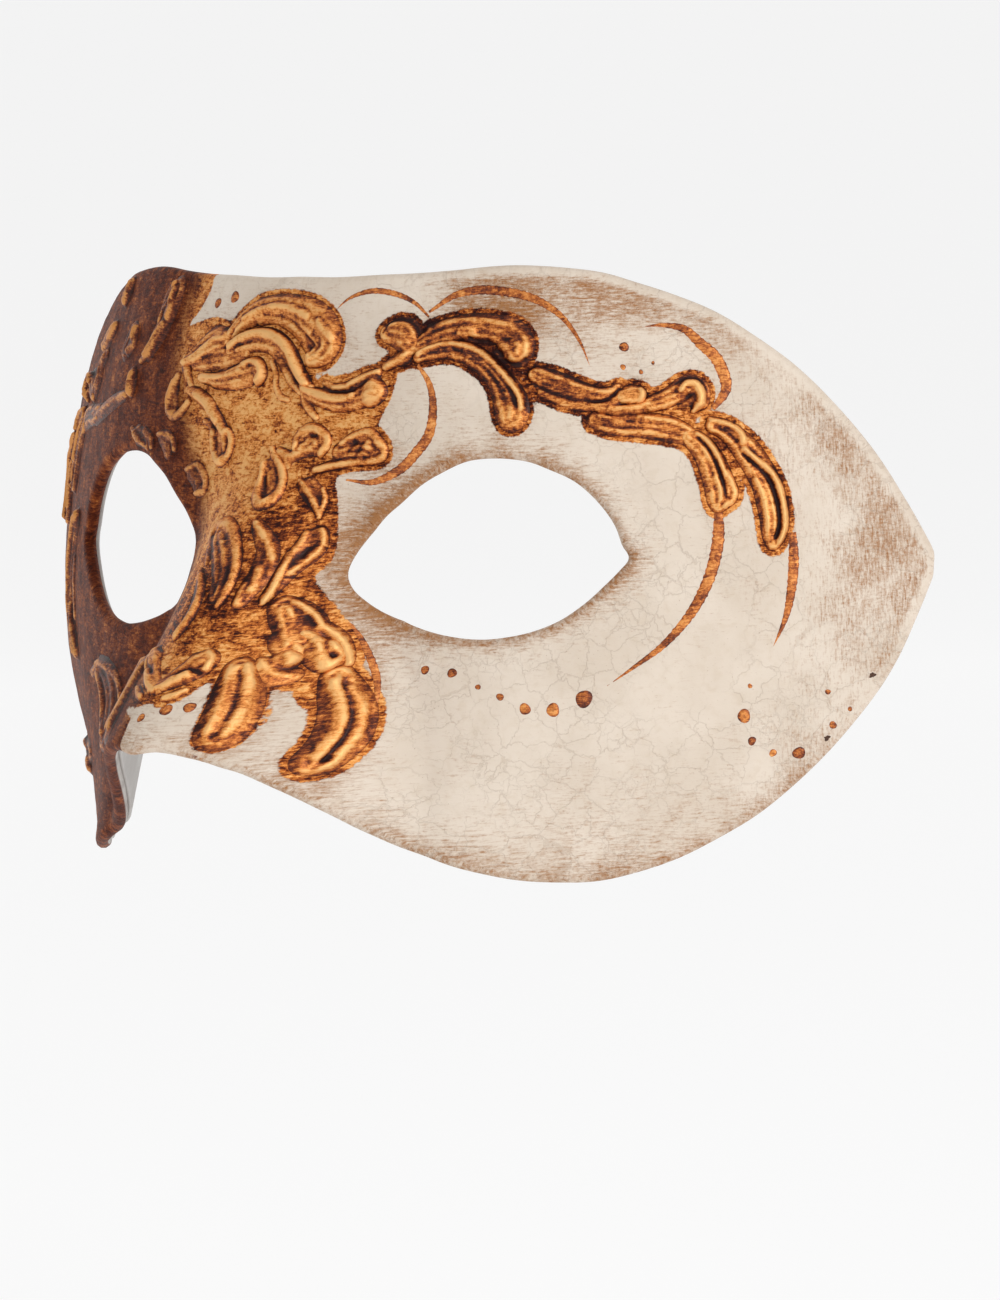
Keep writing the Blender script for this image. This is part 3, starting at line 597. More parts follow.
# ---------------------------------------------------------------- mesh helpers
def make_object(name, verts, faces, attrs=None, smooth=True):
    me = bpy.data.meshes.new(name)
    faces = np.asarray(faces, np.int32)
    me.vertices.add(len(verts))
    me.vertices.foreach_set("co", np.asarray(verts, np.float32).ravel())
    me.loops.add(faces.size)
    me.loops.foreach_set("vertex_index", faces.ravel())
    me.polygons.add(len(faces))
    k = faces.shape[1]
    me.polygons.foreach_set("loop_start", np.arange(0, faces.size, k, dtype=np.int32))
    me.polygons.foreach_set("loop_total", np.full(len(faces), k, np.int32))
    me.update()
    me.validate()
    for key, val in (attrs or {}).items():
        val = np.asarray(val, np.float32)
        if val.ndim == 2:
            a = me.attributes.new(key, "FLOAT_VECTOR", "POINT")
            a.data.foreach_set("vector", val.ravel())
        else:
            a = me.attributes.new(key, "FLOAT", "POINT")
            a.data.foreach_set("value", val)
    if smooth:
        me.polygons.foreach_set("use_smooth", np.ones(len(me.polygons), bool))
    ob = bpy.data.objects.new(name, me)
    bpy.context.scene.collection.objects.link(ob)
    return ob


def sheet_grid(loops, h):
    """Triangles of a plane region: inside loops[0] and outside the others, its border vertices on the loops.
    Gives points (s, z), triangles, and the border edges in order of the triangles."""
    lo, hi = loops[0].min(0) - h, loops[0].max(0) + h
    gs = np.arange(lo[0], hi[0] + h, h)
    gz = np.arange(lo[1], hi[1] + h, h)
    S, Z = np.meshgrid(gs, gz, indexing="ij")
    shape = S.shape
    s, z = S.ravel().copy(), Z.ravel().copy()
    sd = np.full(s.shape, 1e9)
    near = np.zeros((len(s), 2))
    for i, lp in enumerate(loops):
        d, q = loop_distance(lp, s, z)
        if i:
            d = -d
        m = (np.abs(d) < np.abs(sd))
        near[m] = q[m]
        sd = np.minimum(sd, d)
    snap = np.abs(sd) <= h * 0.51
    s[snap], z[snap] = near[snap, 0], near[snap, 1]
    state = np.where(snap, 0, np.where(sd > 0, 1, -1))
    idx = np.arange(len(s)).reshape(shape)
    a, b, c, d = idx[:-1, :-1].ravel(), idx[1:, :-1].ravel(), idx[1:, 1:].ravel(), idx[:-1, 1:].ravel()
    st = state
    use_bd = (np.minimum(st[a], st[c]) < 0) & (np.minimum(st[b], st[d]) >= 0)
    flip = np.where(use_bd, True, False)
    t1 = np.where(flip[:, None], np.stack([a, b, d], 1), np.stack([a, b, c], 1))
    t2 = np.where(flip[:, None], np.stack([b, c, d], 1), np.stack([a, c, d], 1))
    tri = np.vstack([t1, t2])
    ok = (st[tri] >= 0).all(1)
    allsnap = (st[tri] == 0).all(1)
    cen = np.stack([s[tri].mean(1), z[tri].mean(1)], 1)
    if allsnap.any():
        inside = np.ones(len(tri), bool)
        w = np.where(ok & allsnap)[0]
        v = np.ones(len(w), bool)
        for i, lp in enumerate(loops):
            dd, _ = loop_distance(lp, cen[w, 0], cen[w, 1])
            v &= (dd > 1e-4) if i == 0 else (dd < -1e-4)
        inside[w] = v
        ok &= inside
    ar = (s[tri[:, 1]] - s[tri[:, 0]]) * (z[tri[:, 2]] - z[tri[:, 0]]) - (s[tri[:, 2]] - s[tri[:, 0]]) * (z[tri[:, 1]] - z[tri[:, 0]])
    ok &= ar > 1e-5
    tri = tri[ok]
    used = np.unique(tri)
    new = np.full(len(s), -1)
    new[used] = np.arange(len(used))
    tri = new[tri]
    s, z = s[used], z[used]
    e = np.vstack([tri[:, [0, 1]], tri[:, [1, 2]], tri[:, [2, 0]]])
    key = e[:, 0].astype(np.int64) * (len(s) + 1) + e[:, 1]
    rev = e[:, 1].astype(np.int64) * (len(s) + 1) + e[:, 0]
    border = e[~np.isin(key, rev)]
    return s, z, tri, border


def border_out(s, z, border):
    """Outward direction in (s, z) at the border vertices."""
    d = np.stack([s[border[:, 1]] - s[border[:, 0]], z[border[:, 1]] - z[border[:, 0]]], 1)
    d /= np.linalg.norm(d, axis=1, keepdims=True) + 1e-12
    o = np.stack([d[:, 1], -d[:, 0]], 1)
    acc = np.zeros((len(s), 2))
    np.add.at(acc, border[:, 0], o)
    np.add.at(acc, border[:, 1], o)
    nb = np.unique(border)
    acc[nb] /= np.linalg.norm(acc[nb], axis=1, keepdims=True) + 1e-12
    return nb, acc[nb]


# ---------------------------------------------------------------- relief height
STROKE_C = {}
for nm_, st_ in STROKES.items():
    STROKE_C[nm_] = [(k, h, dense(p, step=0.45)) for k, h, p in st_]


def relief_height(strokes, s, z):
    body = np.full(s.shape, -1.0)
    ridge = np.full(s.shape, -1.0)
    groove = np.zeros(s.shape)
    for kind, h, c in strokes:
        lo, hi = c[:, :2].min(0) - c[:, 2].max() * 2 - 1, c[:, :2].max(0) + c[:, 2].max() * 2 + 1
        m = (s > lo[0]) & (s < hi[0]) & (z > lo[1]) & (z < hi[1])
        if not m.any():
            continue
        rho, _ = nearest(c, s[m], z[m])
        if kind == "b":
            v = h * (1 - np.minimum(rho * 0.9, 1.6) ** 2.6)
            wide = min(float(c[:, 2].max()) / 1.6, 1.4)
            v = v + 0.085 * wide * np.cos(rho * math.pi * 3.2) * np.clip((1.0 - rho) * 4, 0, 1) * np.clip(wide - 0.3, 0, 1)
            x, y = body[m], v
            k = 0.12
            t = np.clip(0.5 + 0.5 * (x - y) / k, 0, 1)
            body[m] = y + (x - y) * t + k * t * (1 - t)
        elif kind == "r":
            v = h * 0.82 * (1 - np.minimum(rho * 0.72, 1.8) ** 2.0)
            x, y = ridge[m], v
            k = 0.16
            t = np.clip(0.5 + 0.5 * (x - y) / k, 0, 1)
            ridge[m] = y + (x - y) * t + k * t * (1 - t)
        else:
            groove[m] = np.maximum(groove[m], h * np.exp(-1.6 * rho ** 2))
    both = np.maximum(body, ridge)
    hh = np.where(both <= 0, both, np.maximum(body, 0) + np.maximum(ridge, 0))
    hh = hh - groove * np.clip(hh / 0.4, 0, 1)
    return hh


def blur(g, n):
    k = np.exp(-0.5 * (np.arange(-2 * n, 2 * n + 1) / n) ** 2)
    k /= k.sum()
    p = np.pad(g, 2 * n, mode="edge")
    p = np.apply_along_axis(lambda r: np.convolve(r, k, mode="valid"), 0, p)
    return np.apply_along_axis(lambda r: np.convolve(r, k, mode="valid"), 1, p)


def smooth01(x, a, b):
    t = np.clip((x - a) / (b - a), 0, 1)
    return t * t * (3 - 2 * t)


FAR_LINE = np.array([(-45, 1.0), (-30, -1.0), (-24, -4.0), (-16, -7.0), (-8, -10.0), (0, -13.0), (8, -17.0), (16, -22.0), (26, -28.0), (34, -28.0), (45, -25.0)])


def far_side(s, z):
    """1 on the dark half of the mask, 0 on the gilded and cream one."""
    x = np.interp(z, FAR_LINE[:, 0], FAR_LINE[:, 1])
    return smooth01(-(s - x), -4.5, 3.0)


def gloss_of(s, z):
    """1 where the gilding is bright, 0 where it is left dark, on the gilded half."""
    v = np.full(np.shape(s), 0.75)
    for cs, cz, r, a in BRIGHT:
        v = v + a * np.exp(-((s - cs) ** 2 + (z - cz) ** 2) / r ** 2)
    return np.clip(v, 0, 1)


BRIGHT = [(-12, 8, 9, 0.15), (2, 24, 12, 0.2), (9, 2, 6, -0.5), (3, -8, 6, -0.45), (-3, -12, 6, -0.35), (12, -14, 5, -0.1),
          (27, 32, 8, -0.5), (40, 28, 9, -0.45), (55, 22, 9, -0.4), (78, 4, 12, 0.12), (17, -22, 6, 0.2), (70, 18, 5, 0.05)]


def relief_piece(node, strokes, g=0.2):
    lo = np.min([c[:, :2].min(0) - c[:, 2].max() * 1.5 - 0.6 for k, h, c in strokes if k != "g"], axis=0)
    hi = np.max([c[:, :2].max(0) + c[:, 2].max() * 1.5 + 0.6 for k, h, c in strokes if k != "g"], axis=0)
    gs, gz = np.arange(lo[0], hi[0] + g, g), np.arange(lo[1], hi[1] + g, g)
    S, Z = np.meshgrid(gs, gz, indexing="ij")
    H = relief_height(strokes, S, Z)
    keep_in, _ = loop_distance(OUTLINE, S, Z)
    ins = np.minimum(keep_in, 9)
    for eye in (EYE_L, EYE_R):
        d, _ = loop_distance(eye[::3], S, Z)
        ins = np.minimum(ins, -d)
    H = np.minimum(H, (ins - 0.9) * 1.2)
    H = H + np.where(H > 0, 0.03 * np.sin(5.1 * S + 2 * np.sin(3.3 * Z)) * np.cos(4.7 * Z + 1.5 * np.sin(2.9 * S)), 0)
    H = np.where(H > -0.9, 0.45 * H + 0.55 * blur(H, 1), H)
    HP = np.maximum(H, 0)
    cav = (HP - blur(HP, 4)) / 0.30 * 0.6 + (HP - blur(HP, 2)) / 0.11 * 0.4
    ds_, dz_ = np.gradient(blur(HP, 1), g)
    lean = 0.7 * (ds_ - dz_)
    cav = cav - 0.55 * np.clip(lean, 0, 1.4) + 0.35 * np.clip(-lean, 0, 1.2)
    off = np.maximum(H, -0.32)
    on = H > -0.1
    cell = on[:-1, :-1] | on[1:, :-1] | on[:-1, 1:] | on[1:, 1:]
    idx = np.arange(S.size).reshape(S.shape)
    a, b, c, d = (q[cell] for q in (idx[:-1, :-1], idx[1:, :-1], idx[1:, 1:], idx[:-1, 1:]))
    quads = np.stack([a, b, c, d], 1)
    used = np.unique(quads)
    new = np.full(S.size, -1)
    new[used] = np.arange(len(used))
    quads = new[quads]
    s, z, o, cv = S.ravel()[used], Z.ravel()[used], off.ravel()[used], cav.ravel()[used]
    n = len(s)
    tris = np.vstack([quads[:, [0, 1, 2]], quads[:, [0, 2, 3]]])
    e = np.vstack([quads[:, [0, 1]], quads[:, [1, 2]], quads[:, [2, 3]], quads[:, [3, 0]]])
    key = e[:, 0].astype(np.int64) * (n + 1) + e[:, 1]
    rev = e[:, 1].astype(np.int64) * (n + 1) + e[:, 0]
    bd = e[~np.isin(key, rev)]
    faces = np.vstack([tris, tris[:, ::-1] + n,
                       np.stack([bd[:, 1], bd[:, 0], bd[:, 0] + n], 1), np.stack([bd[:, 1], bd[:, 0] + n, bd[:, 1] + n], 1)])
    w = wob(s, z)
    v = np.vstack([lay(s, z, o + w), lay(s, z, np.full(n, -0.7))])
    two = lambda x: np.concatenate([x, x])
    far = far_side(s, z)
    ob = make_object("stucco_" + node, v, faces, {
        "cav": two(cv), "hgt": two(o), "far": two(far), "glo": two(gloss_of(s, z)),
        "sz": np.vstack([np.stack([s, z, o], 1), np.stack([s, z, o * 0 - 1], 1)])})
    return ob


# ---------------------------------------------------------------- shell attributes
def stroke_gap(s, z, nodes, reach=4.0):
    """Distance in mm past the edge of the nearest stroke of these nodes."""
    out = np.full(s.shape, reach)
    for nm in nodes:
        for kind, h, c in STROKE_C[nm]:
            if kind == "g":
                continue
            r = c[:, 2].max() + reach
            lo, hi = c[:, :2].min(0) - r, c[:, :2].max(0) + r
            m = (s > lo[0]) & (s < hi[0]) & (z > lo[1]) & (z < hi[1])
            if m.any():
                _, f = nearest(c[::2] if len(c) > 8 else c, s[m], z[m])
                out[m] = np.minimum(out[m], f)
    return out


def paint_attrs(s, z):
    zone, _ = loop_distance(dense(GOLD_ZONE[:-5], step=1.0).tolist() + GOLD_ZONE[-5:], s, z)
    gap = stroke_gap(s, z, list(STROKE_C))
    halo = 1.0 - gap
    nose = (z < -19) & (s > 3) & (s < 14)
    halo = np.where(nose, 0.5 - gap, halo)
    gold = np.maximum(zone, halo)
    k = 0.5
    t = np.clip(0.5 + 0.5 * (zone - halo) / k, 0, 1)
    gold = halo + (zone - halo) * t + k * t * (1 - t)
    edge, _ = loop_distance(OUTLINE, s, z)
    e1, _ = loop_distance(EYE_L[::2], s, z)
    e2, _ = loop_distance(EYE_R[::2], s, z)
    eye = -np.maximum(e1, e2)
    a = np.abs(s)
    wear = 0.10 + 0.56 * smooth01(z, 24, 36) * smooth01(a, 20, 40) * (1 - 0.5 * smooth01(a, 60, 80))
    wear += 0.42 * smooth01(a, 82, 104) * smooth01(z, -34, -10)
    wear += 0.22 * smooth01(a, 66, 88) * smooth01(z, 6, 26)
    wear += 0.85 * np.exp(-np.maximum(eye, 0) / 2.3)
    wear += 0.48 * np.exp(-np.maximum(edge, 0) / 4.5) * smooth01(-z, 18, 34)
    wear += 0.20 * np.exp(-np.maximum(-gold, 0) / 2.5)
    wear += 0.25 * np.exp(-((s - 20) ** 2 + (z + 18) ** 2) / 90.0)
    wear += 0.30 * np.exp(-((s - 22) ** 2 + (z - 4) ** 2) / 60.0)
    wear += 0.12 * np.exp(-((s - 60) ** 2 + (z + 42) ** 2) / 160.0)
    wear -= 0.25 * np.exp(-((a - 48) ** 2 / 700.0 + (z + 26) ** 2 / 160.0))
    wear -= 0.18 * np.exp(-((a - 62) ** 2 / 300.0 + (z - 8) ** 2 / 120.0))
    rim = smooth01(-edge, -2.3, -1.0) * smooth01(z, -38, -12)
    wear = np.clip(wear, 0.03, 1) * (1 - 0.75 * rim)
    return {"gold": np.clip(gold, -6, 6), "gap": gap, "edge": np.clip(edge, 0, 9), "eye": np.clip(eye, 0, 9),
            "wear": wear, "far": far_side(s, z), "glo": gloss_of(s, z)}


# ---------------------------------------------------------------- papier-mache shell
def build_skin(name, loops, front, rear, h, round_r, wave, attrs):
    """Closed sheet between two depths with rounded borders."""
    s, z, tri, bd = sheet_grid(loops, h)
    n = len(s)
    w = wob(s, z) if wave else np.zeros(n)
    F = lay(s, z, w - front)
    R = lay(s, z, np.full(n, -rear))
    nb, out = border_out(s, z, bd)
    bs, bz = s[nb], z[nb]
    e = 0.05
    du = (outer(bs + e, bz) - outer(bs - e, bz)) / (2 * e)
    dz = (outer(bs, bz + e) - outer(bs, bz - e)) / (2 * e)
    t = du * out[:, :1] / np.maximum((du ** 2).sum(1), 1e-9)[:, None] ** 0.5 + dz * out[:, 1:]
    nn = normal(bs, bz)
    t -= nn * (t * nn).sum(1)[:, None]
    t /= np.linalg.norm(t, axis=1, keepdims=True) + 1e-12
    mid = 0.5 * (F[nb] + R[nb])
    half = 0.5 * np.linalg.norm(F[nb] - R[nb], axis=1)[:, None]
    rings = []
    K = 5
    for j in range(1, K):
        th = math.pi * j / K
        rings.append(mid + nn * half * math.cos(th) + t * (math.sin(th) * round_r * MM))
    loc = np.full(n, -1)
    loc[nb] = np.arange(len(nb))
    verts = [F, R] + rings
    base = [0, n] + [2 * n + i * len(nb) for i in range(K - 1)]
    faces = [tri, tri[:, ::-1] + n]
    i0, i1 = bd[:, 0], bd[:, 1]
    chain = [(i0, i1)] + [(base[2 + i] + loc[i0], base[2 + i] + loc[i1]) for i in range(K - 1)] + [(i0 + n, i1 + n)]
    for (p0, p1), (q0, q1) in zip(chain[:-1], chain[1:]):
        faces.append(np.stack([p1, p0, q0], 1))
        faces.append(np.stack([p1, q0, q1], 1))
    verts = np.vstack(verts)
    at = {}
    A = attrs(s, z)
    for k, v in A.items():
        at[k] = np.concatenate([v, v] + [v[nb]] * (K - 1))
    at["side"] = np.concatenate([np.zeros(n), np.full(n, 2.0)] + [np.full(len(nb), 1.0 if 1 < j else 0.6) for j in range(1, K)])
    p = np.stack([s, z, np.zeros(n)], 1)
    at["sz"] = np.vstack([p, p - [0, 0, rear]] + [p[nb] - [0, 0, (rear - front) * j / K] for j in range(1, K)])
    ob = make_object(name, verts, np.vstack(faces), at)
    return ob


R_EDGE = 1.05
loops = [inset(OUTLINE, R_EDGE), inset(EYE_L, -R_EDGE), inset(EYE_R, -R_EDGE)]
shell = build_skin("papier_mache_shell", loops, 0.0, SHELL_T, 0.62, R_EDGE, True, paint_attrs)

lin_loops = [inset(OUTLINE, EDGE_INSET + 0.3), inset(EYE_L, -EYE_INSET - 0.3), inset(EYE_R, -EYE_INSET - 0.3)]
lining = build_skin("paper_lining_sheet", lin_loops, SHELL_T - 0.05, SHELL_T + LINING_T, 0.9, 0.3, False,
                    lambda s, z: {"edge": np.clip(loop_distance(OUTLINE, s, z)[0], 0, 9)})

relief = {}
for node, strokes in STROKE_C.items():
    relief[node] = relief_piece(node, strokes)


# ---------------------------------------------------------------- painted strokes and dots
def flourish_mesh(name, strokes):
    V, Fc, at_r, at_sz, base = [], [], [], [], 0
    M = 8
    for pts, wmax, t0, t1, peak in strokes:
        c = dense(pts, step=0.35)
        L = np.r_[0, np.cumsum(np.hypot(*np.diff(c[:, :2], axis=0).T))]
        u = L / L[-1]
        a = np.clip(u / max(peak, 1e-3), 0, 1)
        b = np.clip((1 - u) / max(1 - peak, 1e-3), 0, 1)
        w = wmax * 0.5 * (t0 + (1 - t0) * np.sin(a * math.pi / 2)) * (t1 + (1 - t1) * np.sin(b * math.pi / 2))
        w = np.maximum(w * (1 + 0.06 * np.sin(L * 5.1) + 0.05 * np.sin(L * 11.3 + 1)), 0.06)
        d = np.gradient(c[:, :2], axis=0)
        d /= np.linalg.norm(d, axis=1, keepdims=True) + 1e-12
        nrm = np.stack([-d[:, 1], d[:, 0]], 1)
        x = np.linspace(-1, 1, M)
        ps = c[:, None, 0] + nrm[:, None, 0] * w[:, None] * x
        pz = c[:, None, 1] + nrm[:, None, 1] * w[:, None] * x
        hh = 0.10 * (1 - x ** 4) * np.clip(w / 0.3, 0.3, 1)[:, None] - 0.03
        top_ = lay(ps.ravel(), pz.ravel(), (hh + wob(ps, pz)).ravel())
        bot_ = lay(ps.ravel(), pz.ravel(), np.full(ps.size, -0.25))
        n, m = ps.shape
        i = np.arange(n * m).reshape(n, m)
        a_, b_, c_, d_ = i[:-1, :-1].ravel(), i[1:, :-1].ravel(), i[1:, 1:].ravel(), i[:-1, 1:].ravel()
        q = np.stack([a_, b_, c_, d_], 1)
        q = q[:, ::-1]
        rim = np.concatenate([i[:, 0], i[-1, 1:], i[::-1, -1][1:], i[0, ::-1][1:-1]])
        r2 = np.roll(rim, -1)
        off = n * m
        Fc += [q + base, q[:, ::-1] + base + off, np.stack([r2, rim, rim + off, r2 + off], 1) + base]
        V += [top_, bot_]
        at_r += [np.tile(x, n), np.tile(x, n)]
        e = np.stack([ps.ravel(), pz.ravel(), np.repeat(u, m)], 1)
        at_sz += [e, e]
        base += 2 * off
    return make_object(name, np.vstack(V), np.vstack(Fc), {"acr": np.concatenate(at_r), "sz": np.vstack(at_sz)})


def dot_mesh(name, dots, rag=1.0):
    V, Fc, at_r, at_sz, base = [], [], [], [], 0
    for i, (s0, z0, r) in enumerate(dots):
        K, NA = 5, 22
        ang = np.arange(NA) / NA * 2 * math.pi
        wv = 1 + rag * (0.07 * np.sin(2 * ang + i) + 0.05 * np.sin(3 * ang + 2.1 * i)) + (rag > 1) * 0.16 * np.sin(5 * ang + i)
        rr = np.linspace(0.22, 1, K)
        ps = s0 + r * rr[:, None] * wv * np.cos(ang)
        pz = z0 + r * rr[:, None] * wv * np.sin(ang)
        hh = (0.05 + 0.14 * min(r, 1.2)) * (1 - rr[:, None] ** 3) + 0 * ps - 0.02
        top_ = lay(ps.ravel(), pz.ravel(), (hh + wob(ps, pz)).ravel())
        cen = lay(np.array([s0]), np.array([z0]), np.array([hh[0, 0] * 1.02 + float(wob(s0, z0))]))
        bot_ = lay(ps[-1], pz[-1], np.full(NA, -0.3))
        cb = lay(np.array([s0]), np.array([z0]), np.array([-0.3]))
        V += [cen, top_, bot_, cb]
        j = np.arange(NA)
        j2 = (j + 1) % NA
        f = [np.stack([np.zeros(NA, int), 1 + j, 1 + j2], 1)]
        for q in range(K - 1):
            o0, o1 = 1 + q * NA, 1 + (q + 1) * NA
            f += [np.stack([o0 + j, o1 + j, o1 + j2], 1), np.stack([o0 + j, o1 + j2, o0 + j2], 1)]
        o0, o1 = 1 + (K - 1) * NA, 1 + K * NA
        f += [np.stack([o0 + j, o1 + j, o1 + j2], 1), np.stack([o0 + j, o1 + j2, o0 + j2], 1)]
        f += [np.stack([np.full(NA, o1 + NA), o1 + j2, o1 + j], 1)]
        Fc.append(np.vstack(f) + base)
        cnt = 1 + K * NA + NA + 1
        at_r.append(np.concatenate([[0], np.repeat(rr, NA), np.ones(NA), [1]]))
        e = np.zeros((cnt, 3))
        e[:, 0], e[:, 1] = s0 + i * 3.1, z0
        e[1:1 + K * NA, 0] = ps.ravel()
        e[1:1 + K * NA, 1] = pz.ravel()
        at_sz.append(e)
        base += cnt
    return make_object(name, np.vstack(V), np.vstack(Fc), {"acr": np.concatenate(at_r), "sz": np.vstack(at_sz)})


flourishes = flourish_mesh("painted_flourishes", FLOURISHES)
dots = dot_mesh("painted_dots", DOTS)
chips = dot_mesh("paint_chips", CHIPS, 3.0)


# ---------------------------------------------------------------- materials
def C(r, g, b):
    def f(v):
        v = v / 255.0
        return v / 12.92 if v <= 0.04045 else ((v + 0.055) / 1.055) ** 2.4
    return (f(r), f(g), f(b), 1.0)


class Graph:
    def __init__(self, name):
        self.mat = bpy.data.materials.new(name)
        self.mat.use_nodes = True
        self.nt = self.mat.node_tree
        self.nt.nodes.clear()
        self.out = self.nt.nodes.new("ShaderNodeOutputMaterial")
        self.bsdf = self.nt.nodes.new("ShaderNodeBsdfPrincipled")
        self.nt.links.new(self.bsdf.outputs[0], self.out.inputs[0])

    def put(self, sock, v):
        if v is None:
            return
        if isinstance(v, bpy.types.NodeSocket):
            self.nt.links.new(v, sock)
        else:
            sock.default_value = v

    def set(self, name, v):
        self.put(self.bsdf.inputs[name], v)

    def attr(self, name, vec=False):
        n = self.nt.nodes.new("ShaderNodeAttribute")
        n.attribute_name = name
        return n.outputs["Vector" if vec else "Fac"]

    def math(self, op, a, b=None, c=None, clamp=False):
        n = self.nt.nodes.new("ShaderNodeMath")
        n.operation = op
        n.use_clamp = clamp
        self.put(n.inputs[0], a)
        self.put(n.inputs[1], b)
        self.put(n.inputs[2], c)
        return n.outputs[0]

    def step(self, v, a, b):
        n = self.nt.nodes.new("ShaderNodeMapRange")
        n.interpolation_type = "SMOOTHSTEP"
        self.put(n.inputs["Value"], v)
        n.inputs["From Min"].default_value = a
        n.inputs["From Max"].default_value = b
        return n.outputs["Result"]

    def scale(self, v, sc, rot=(0, 0, 0)):
        n = self.nt.nodes.new("ShaderNodeMapping")
        self.put(n.inputs["Vector"], v)
        n.inputs["Scale"].default_value = sc
        n.inputs["Rotation"].default_value = rot
        return n.outputs[0]

    def noise(self, v, sc=1.0, detail=4.0, rough=0.55, dist=0.0):
        n = self.nt.nodes.new("ShaderNodeTexNoise")
        self.put(n.inputs["Vector"], v)
        n.inputs["Scale"].default_value = sc
        n.inputs["Detail"].default_value = detail
        n.inputs["Roughness"].default_value = rough
        n.inputs["Distortion"].default_value = dist
        return n.outputs["Fac"]

    def cracks(self, v, sc, rnd=1.0):
        n = self.nt.nodes.new("ShaderNodeTexVoronoi")
        n.feature = "DISTANCE_TO_EDGE"
        self.put(n.inputs["Vector"], v)
        n.inputs["Scale"].default_value = sc
        n.inputs["Randomness"].default_value = rnd
        return n.outputs["Distance"]

    def mix(self, f, a, b, mode="MIX"):
        n = self.nt.nodes.new("ShaderNodeMix")
        n.data_type = "RGBA"
        n.blend_type = mode
        self.put(n.inputs[0], f)
        self.put(n.inputs[6], a)
        self.put(n.inputs[7], b)
        return n.outputs[2]

    def ramp(self, f, stops):
        n = self.nt.nodes.new("ShaderNodeValToRGB")
        self.put(n.inputs[0], f)
        el = n.color_ramp.elements
        while len(el) > 1:
            el.remove(el[-1])
        el[0].position, el[0].color = stops[0]
        for p, c in stops[1:]:
            e = el.new(p)
            e.color = c
        return n.outputs[0]

    def bump(self, h, strength, dist, under=None):
        n = self.nt.nodes.new("ShaderNodeBump")
        n.inputs["Strength"].default_value = strength
        n.inputs["Distance"].default_value = dist
        self.put(n.inputs["Height"], h)
        if under is not None:
            self.put(n.inputs["Normal"], under)
        return n.outputs[0]


GILT = [(0.0, C(42, 16, 16)), (0.2, C(84, 35, 20)), (0.38, C(144, 70, 30)), (0.55, C(202, 116, 50)), (0.74, C(234, 156, 80)), (1.0, C(248, 190, 120))]
DARK = [(0.0, C(28, 9, 6)), (0.3, C(62, 24, 13)), (0.52, C(98, 42, 22)), (0.74, C(152, 80, 38)), (1.0, C(220, 150, 80))]


def gilt_tone(g, base, rough=1.0):
    """Speckled, brushed tone of the gilding around a base value."""
    sz = g.attr("sz", True)
    brush = g.noise(g.scale(sz, (0.55, 2.3, 1.0), (0, 0, math.radians(-34))), 1.0, 6, 0.66, 1.1)
    speck = g.noise(sz, 1.5, 6, 0.74, 0.3)
    blotch = g.noise(sz, 0.32, 3, 0.5, 0.4)
    t = g.math("MULTIPLY_ADD", g.math("SUBTRACT", brush, 0.5), rough * 1.25, base)
    t = g.math("MULTIPLY_ADD", g.math("SUBTRACT", speck, 0.5), rough * 1.15, t)
    t = g.math("MULTIPLY_ADD", g.math("SUBTRACT", blotch, 0.5), rough * 0.9, t)
    return t, brush, speck, sz


def stucco_material():
    g = Graph("gilded_stucco")
    cav, hgt, far, glo = g.attr("cav"), g.attr("hgt"), g.attr("far"), g.attr("glo")
    base = g.math("MULTIPLY_ADD", cav, 0.36, 0.45)
    base = g.math("MULTIPLY_ADD", g.math("MINIMUM", hgt, 1.4), 0.10, base)
    base = g.math("MULTIPLY_ADD", g.math("SUBTRACT", glo, 0.75), 0.45, base)
    t, brush, speck, sz = gilt_tone(g, base, 1.15)
    gold = g.ramp(t, GILT)
    dark = g.ramp(g.math("ADD", t, 0.05), DARK)
    col = g.mix(far, gold, dark)
    foot = g.step(hgt, 0.28, -0.05)
    col = g.mix(g.math("MULTIPLY", foot, 0.25), col, C(60, 28, 14))
    g.set("Base Color", col)
    g.set("Metallic", g.math("MULTIPLY_ADD", g.math("SUBTRACT", 1.0, far), 0.06, 0.50))
    g.set("Roughness", g.math("MULTIPLY_ADD", speck, 0.28, 0.26))
    g.bsdf.inputs["Coat Weight"].default_value = 0.10
    g.bsdf.inputs["Coat Roughness"].default_value = 0.28
    fine = g.noise(sz, 6.0, 3, 0.6)
    h = g.math("MULTIPLY_ADD", fine, 0.4, g.math("MULTIPLY_ADD", speck, 0.8, brush))
    g.bsdf.inputs["Specular IOR Level"].default_value = 0.35
    g.set("Normal", g.bump(h, 0.7, 0.00016))
    return g.mat


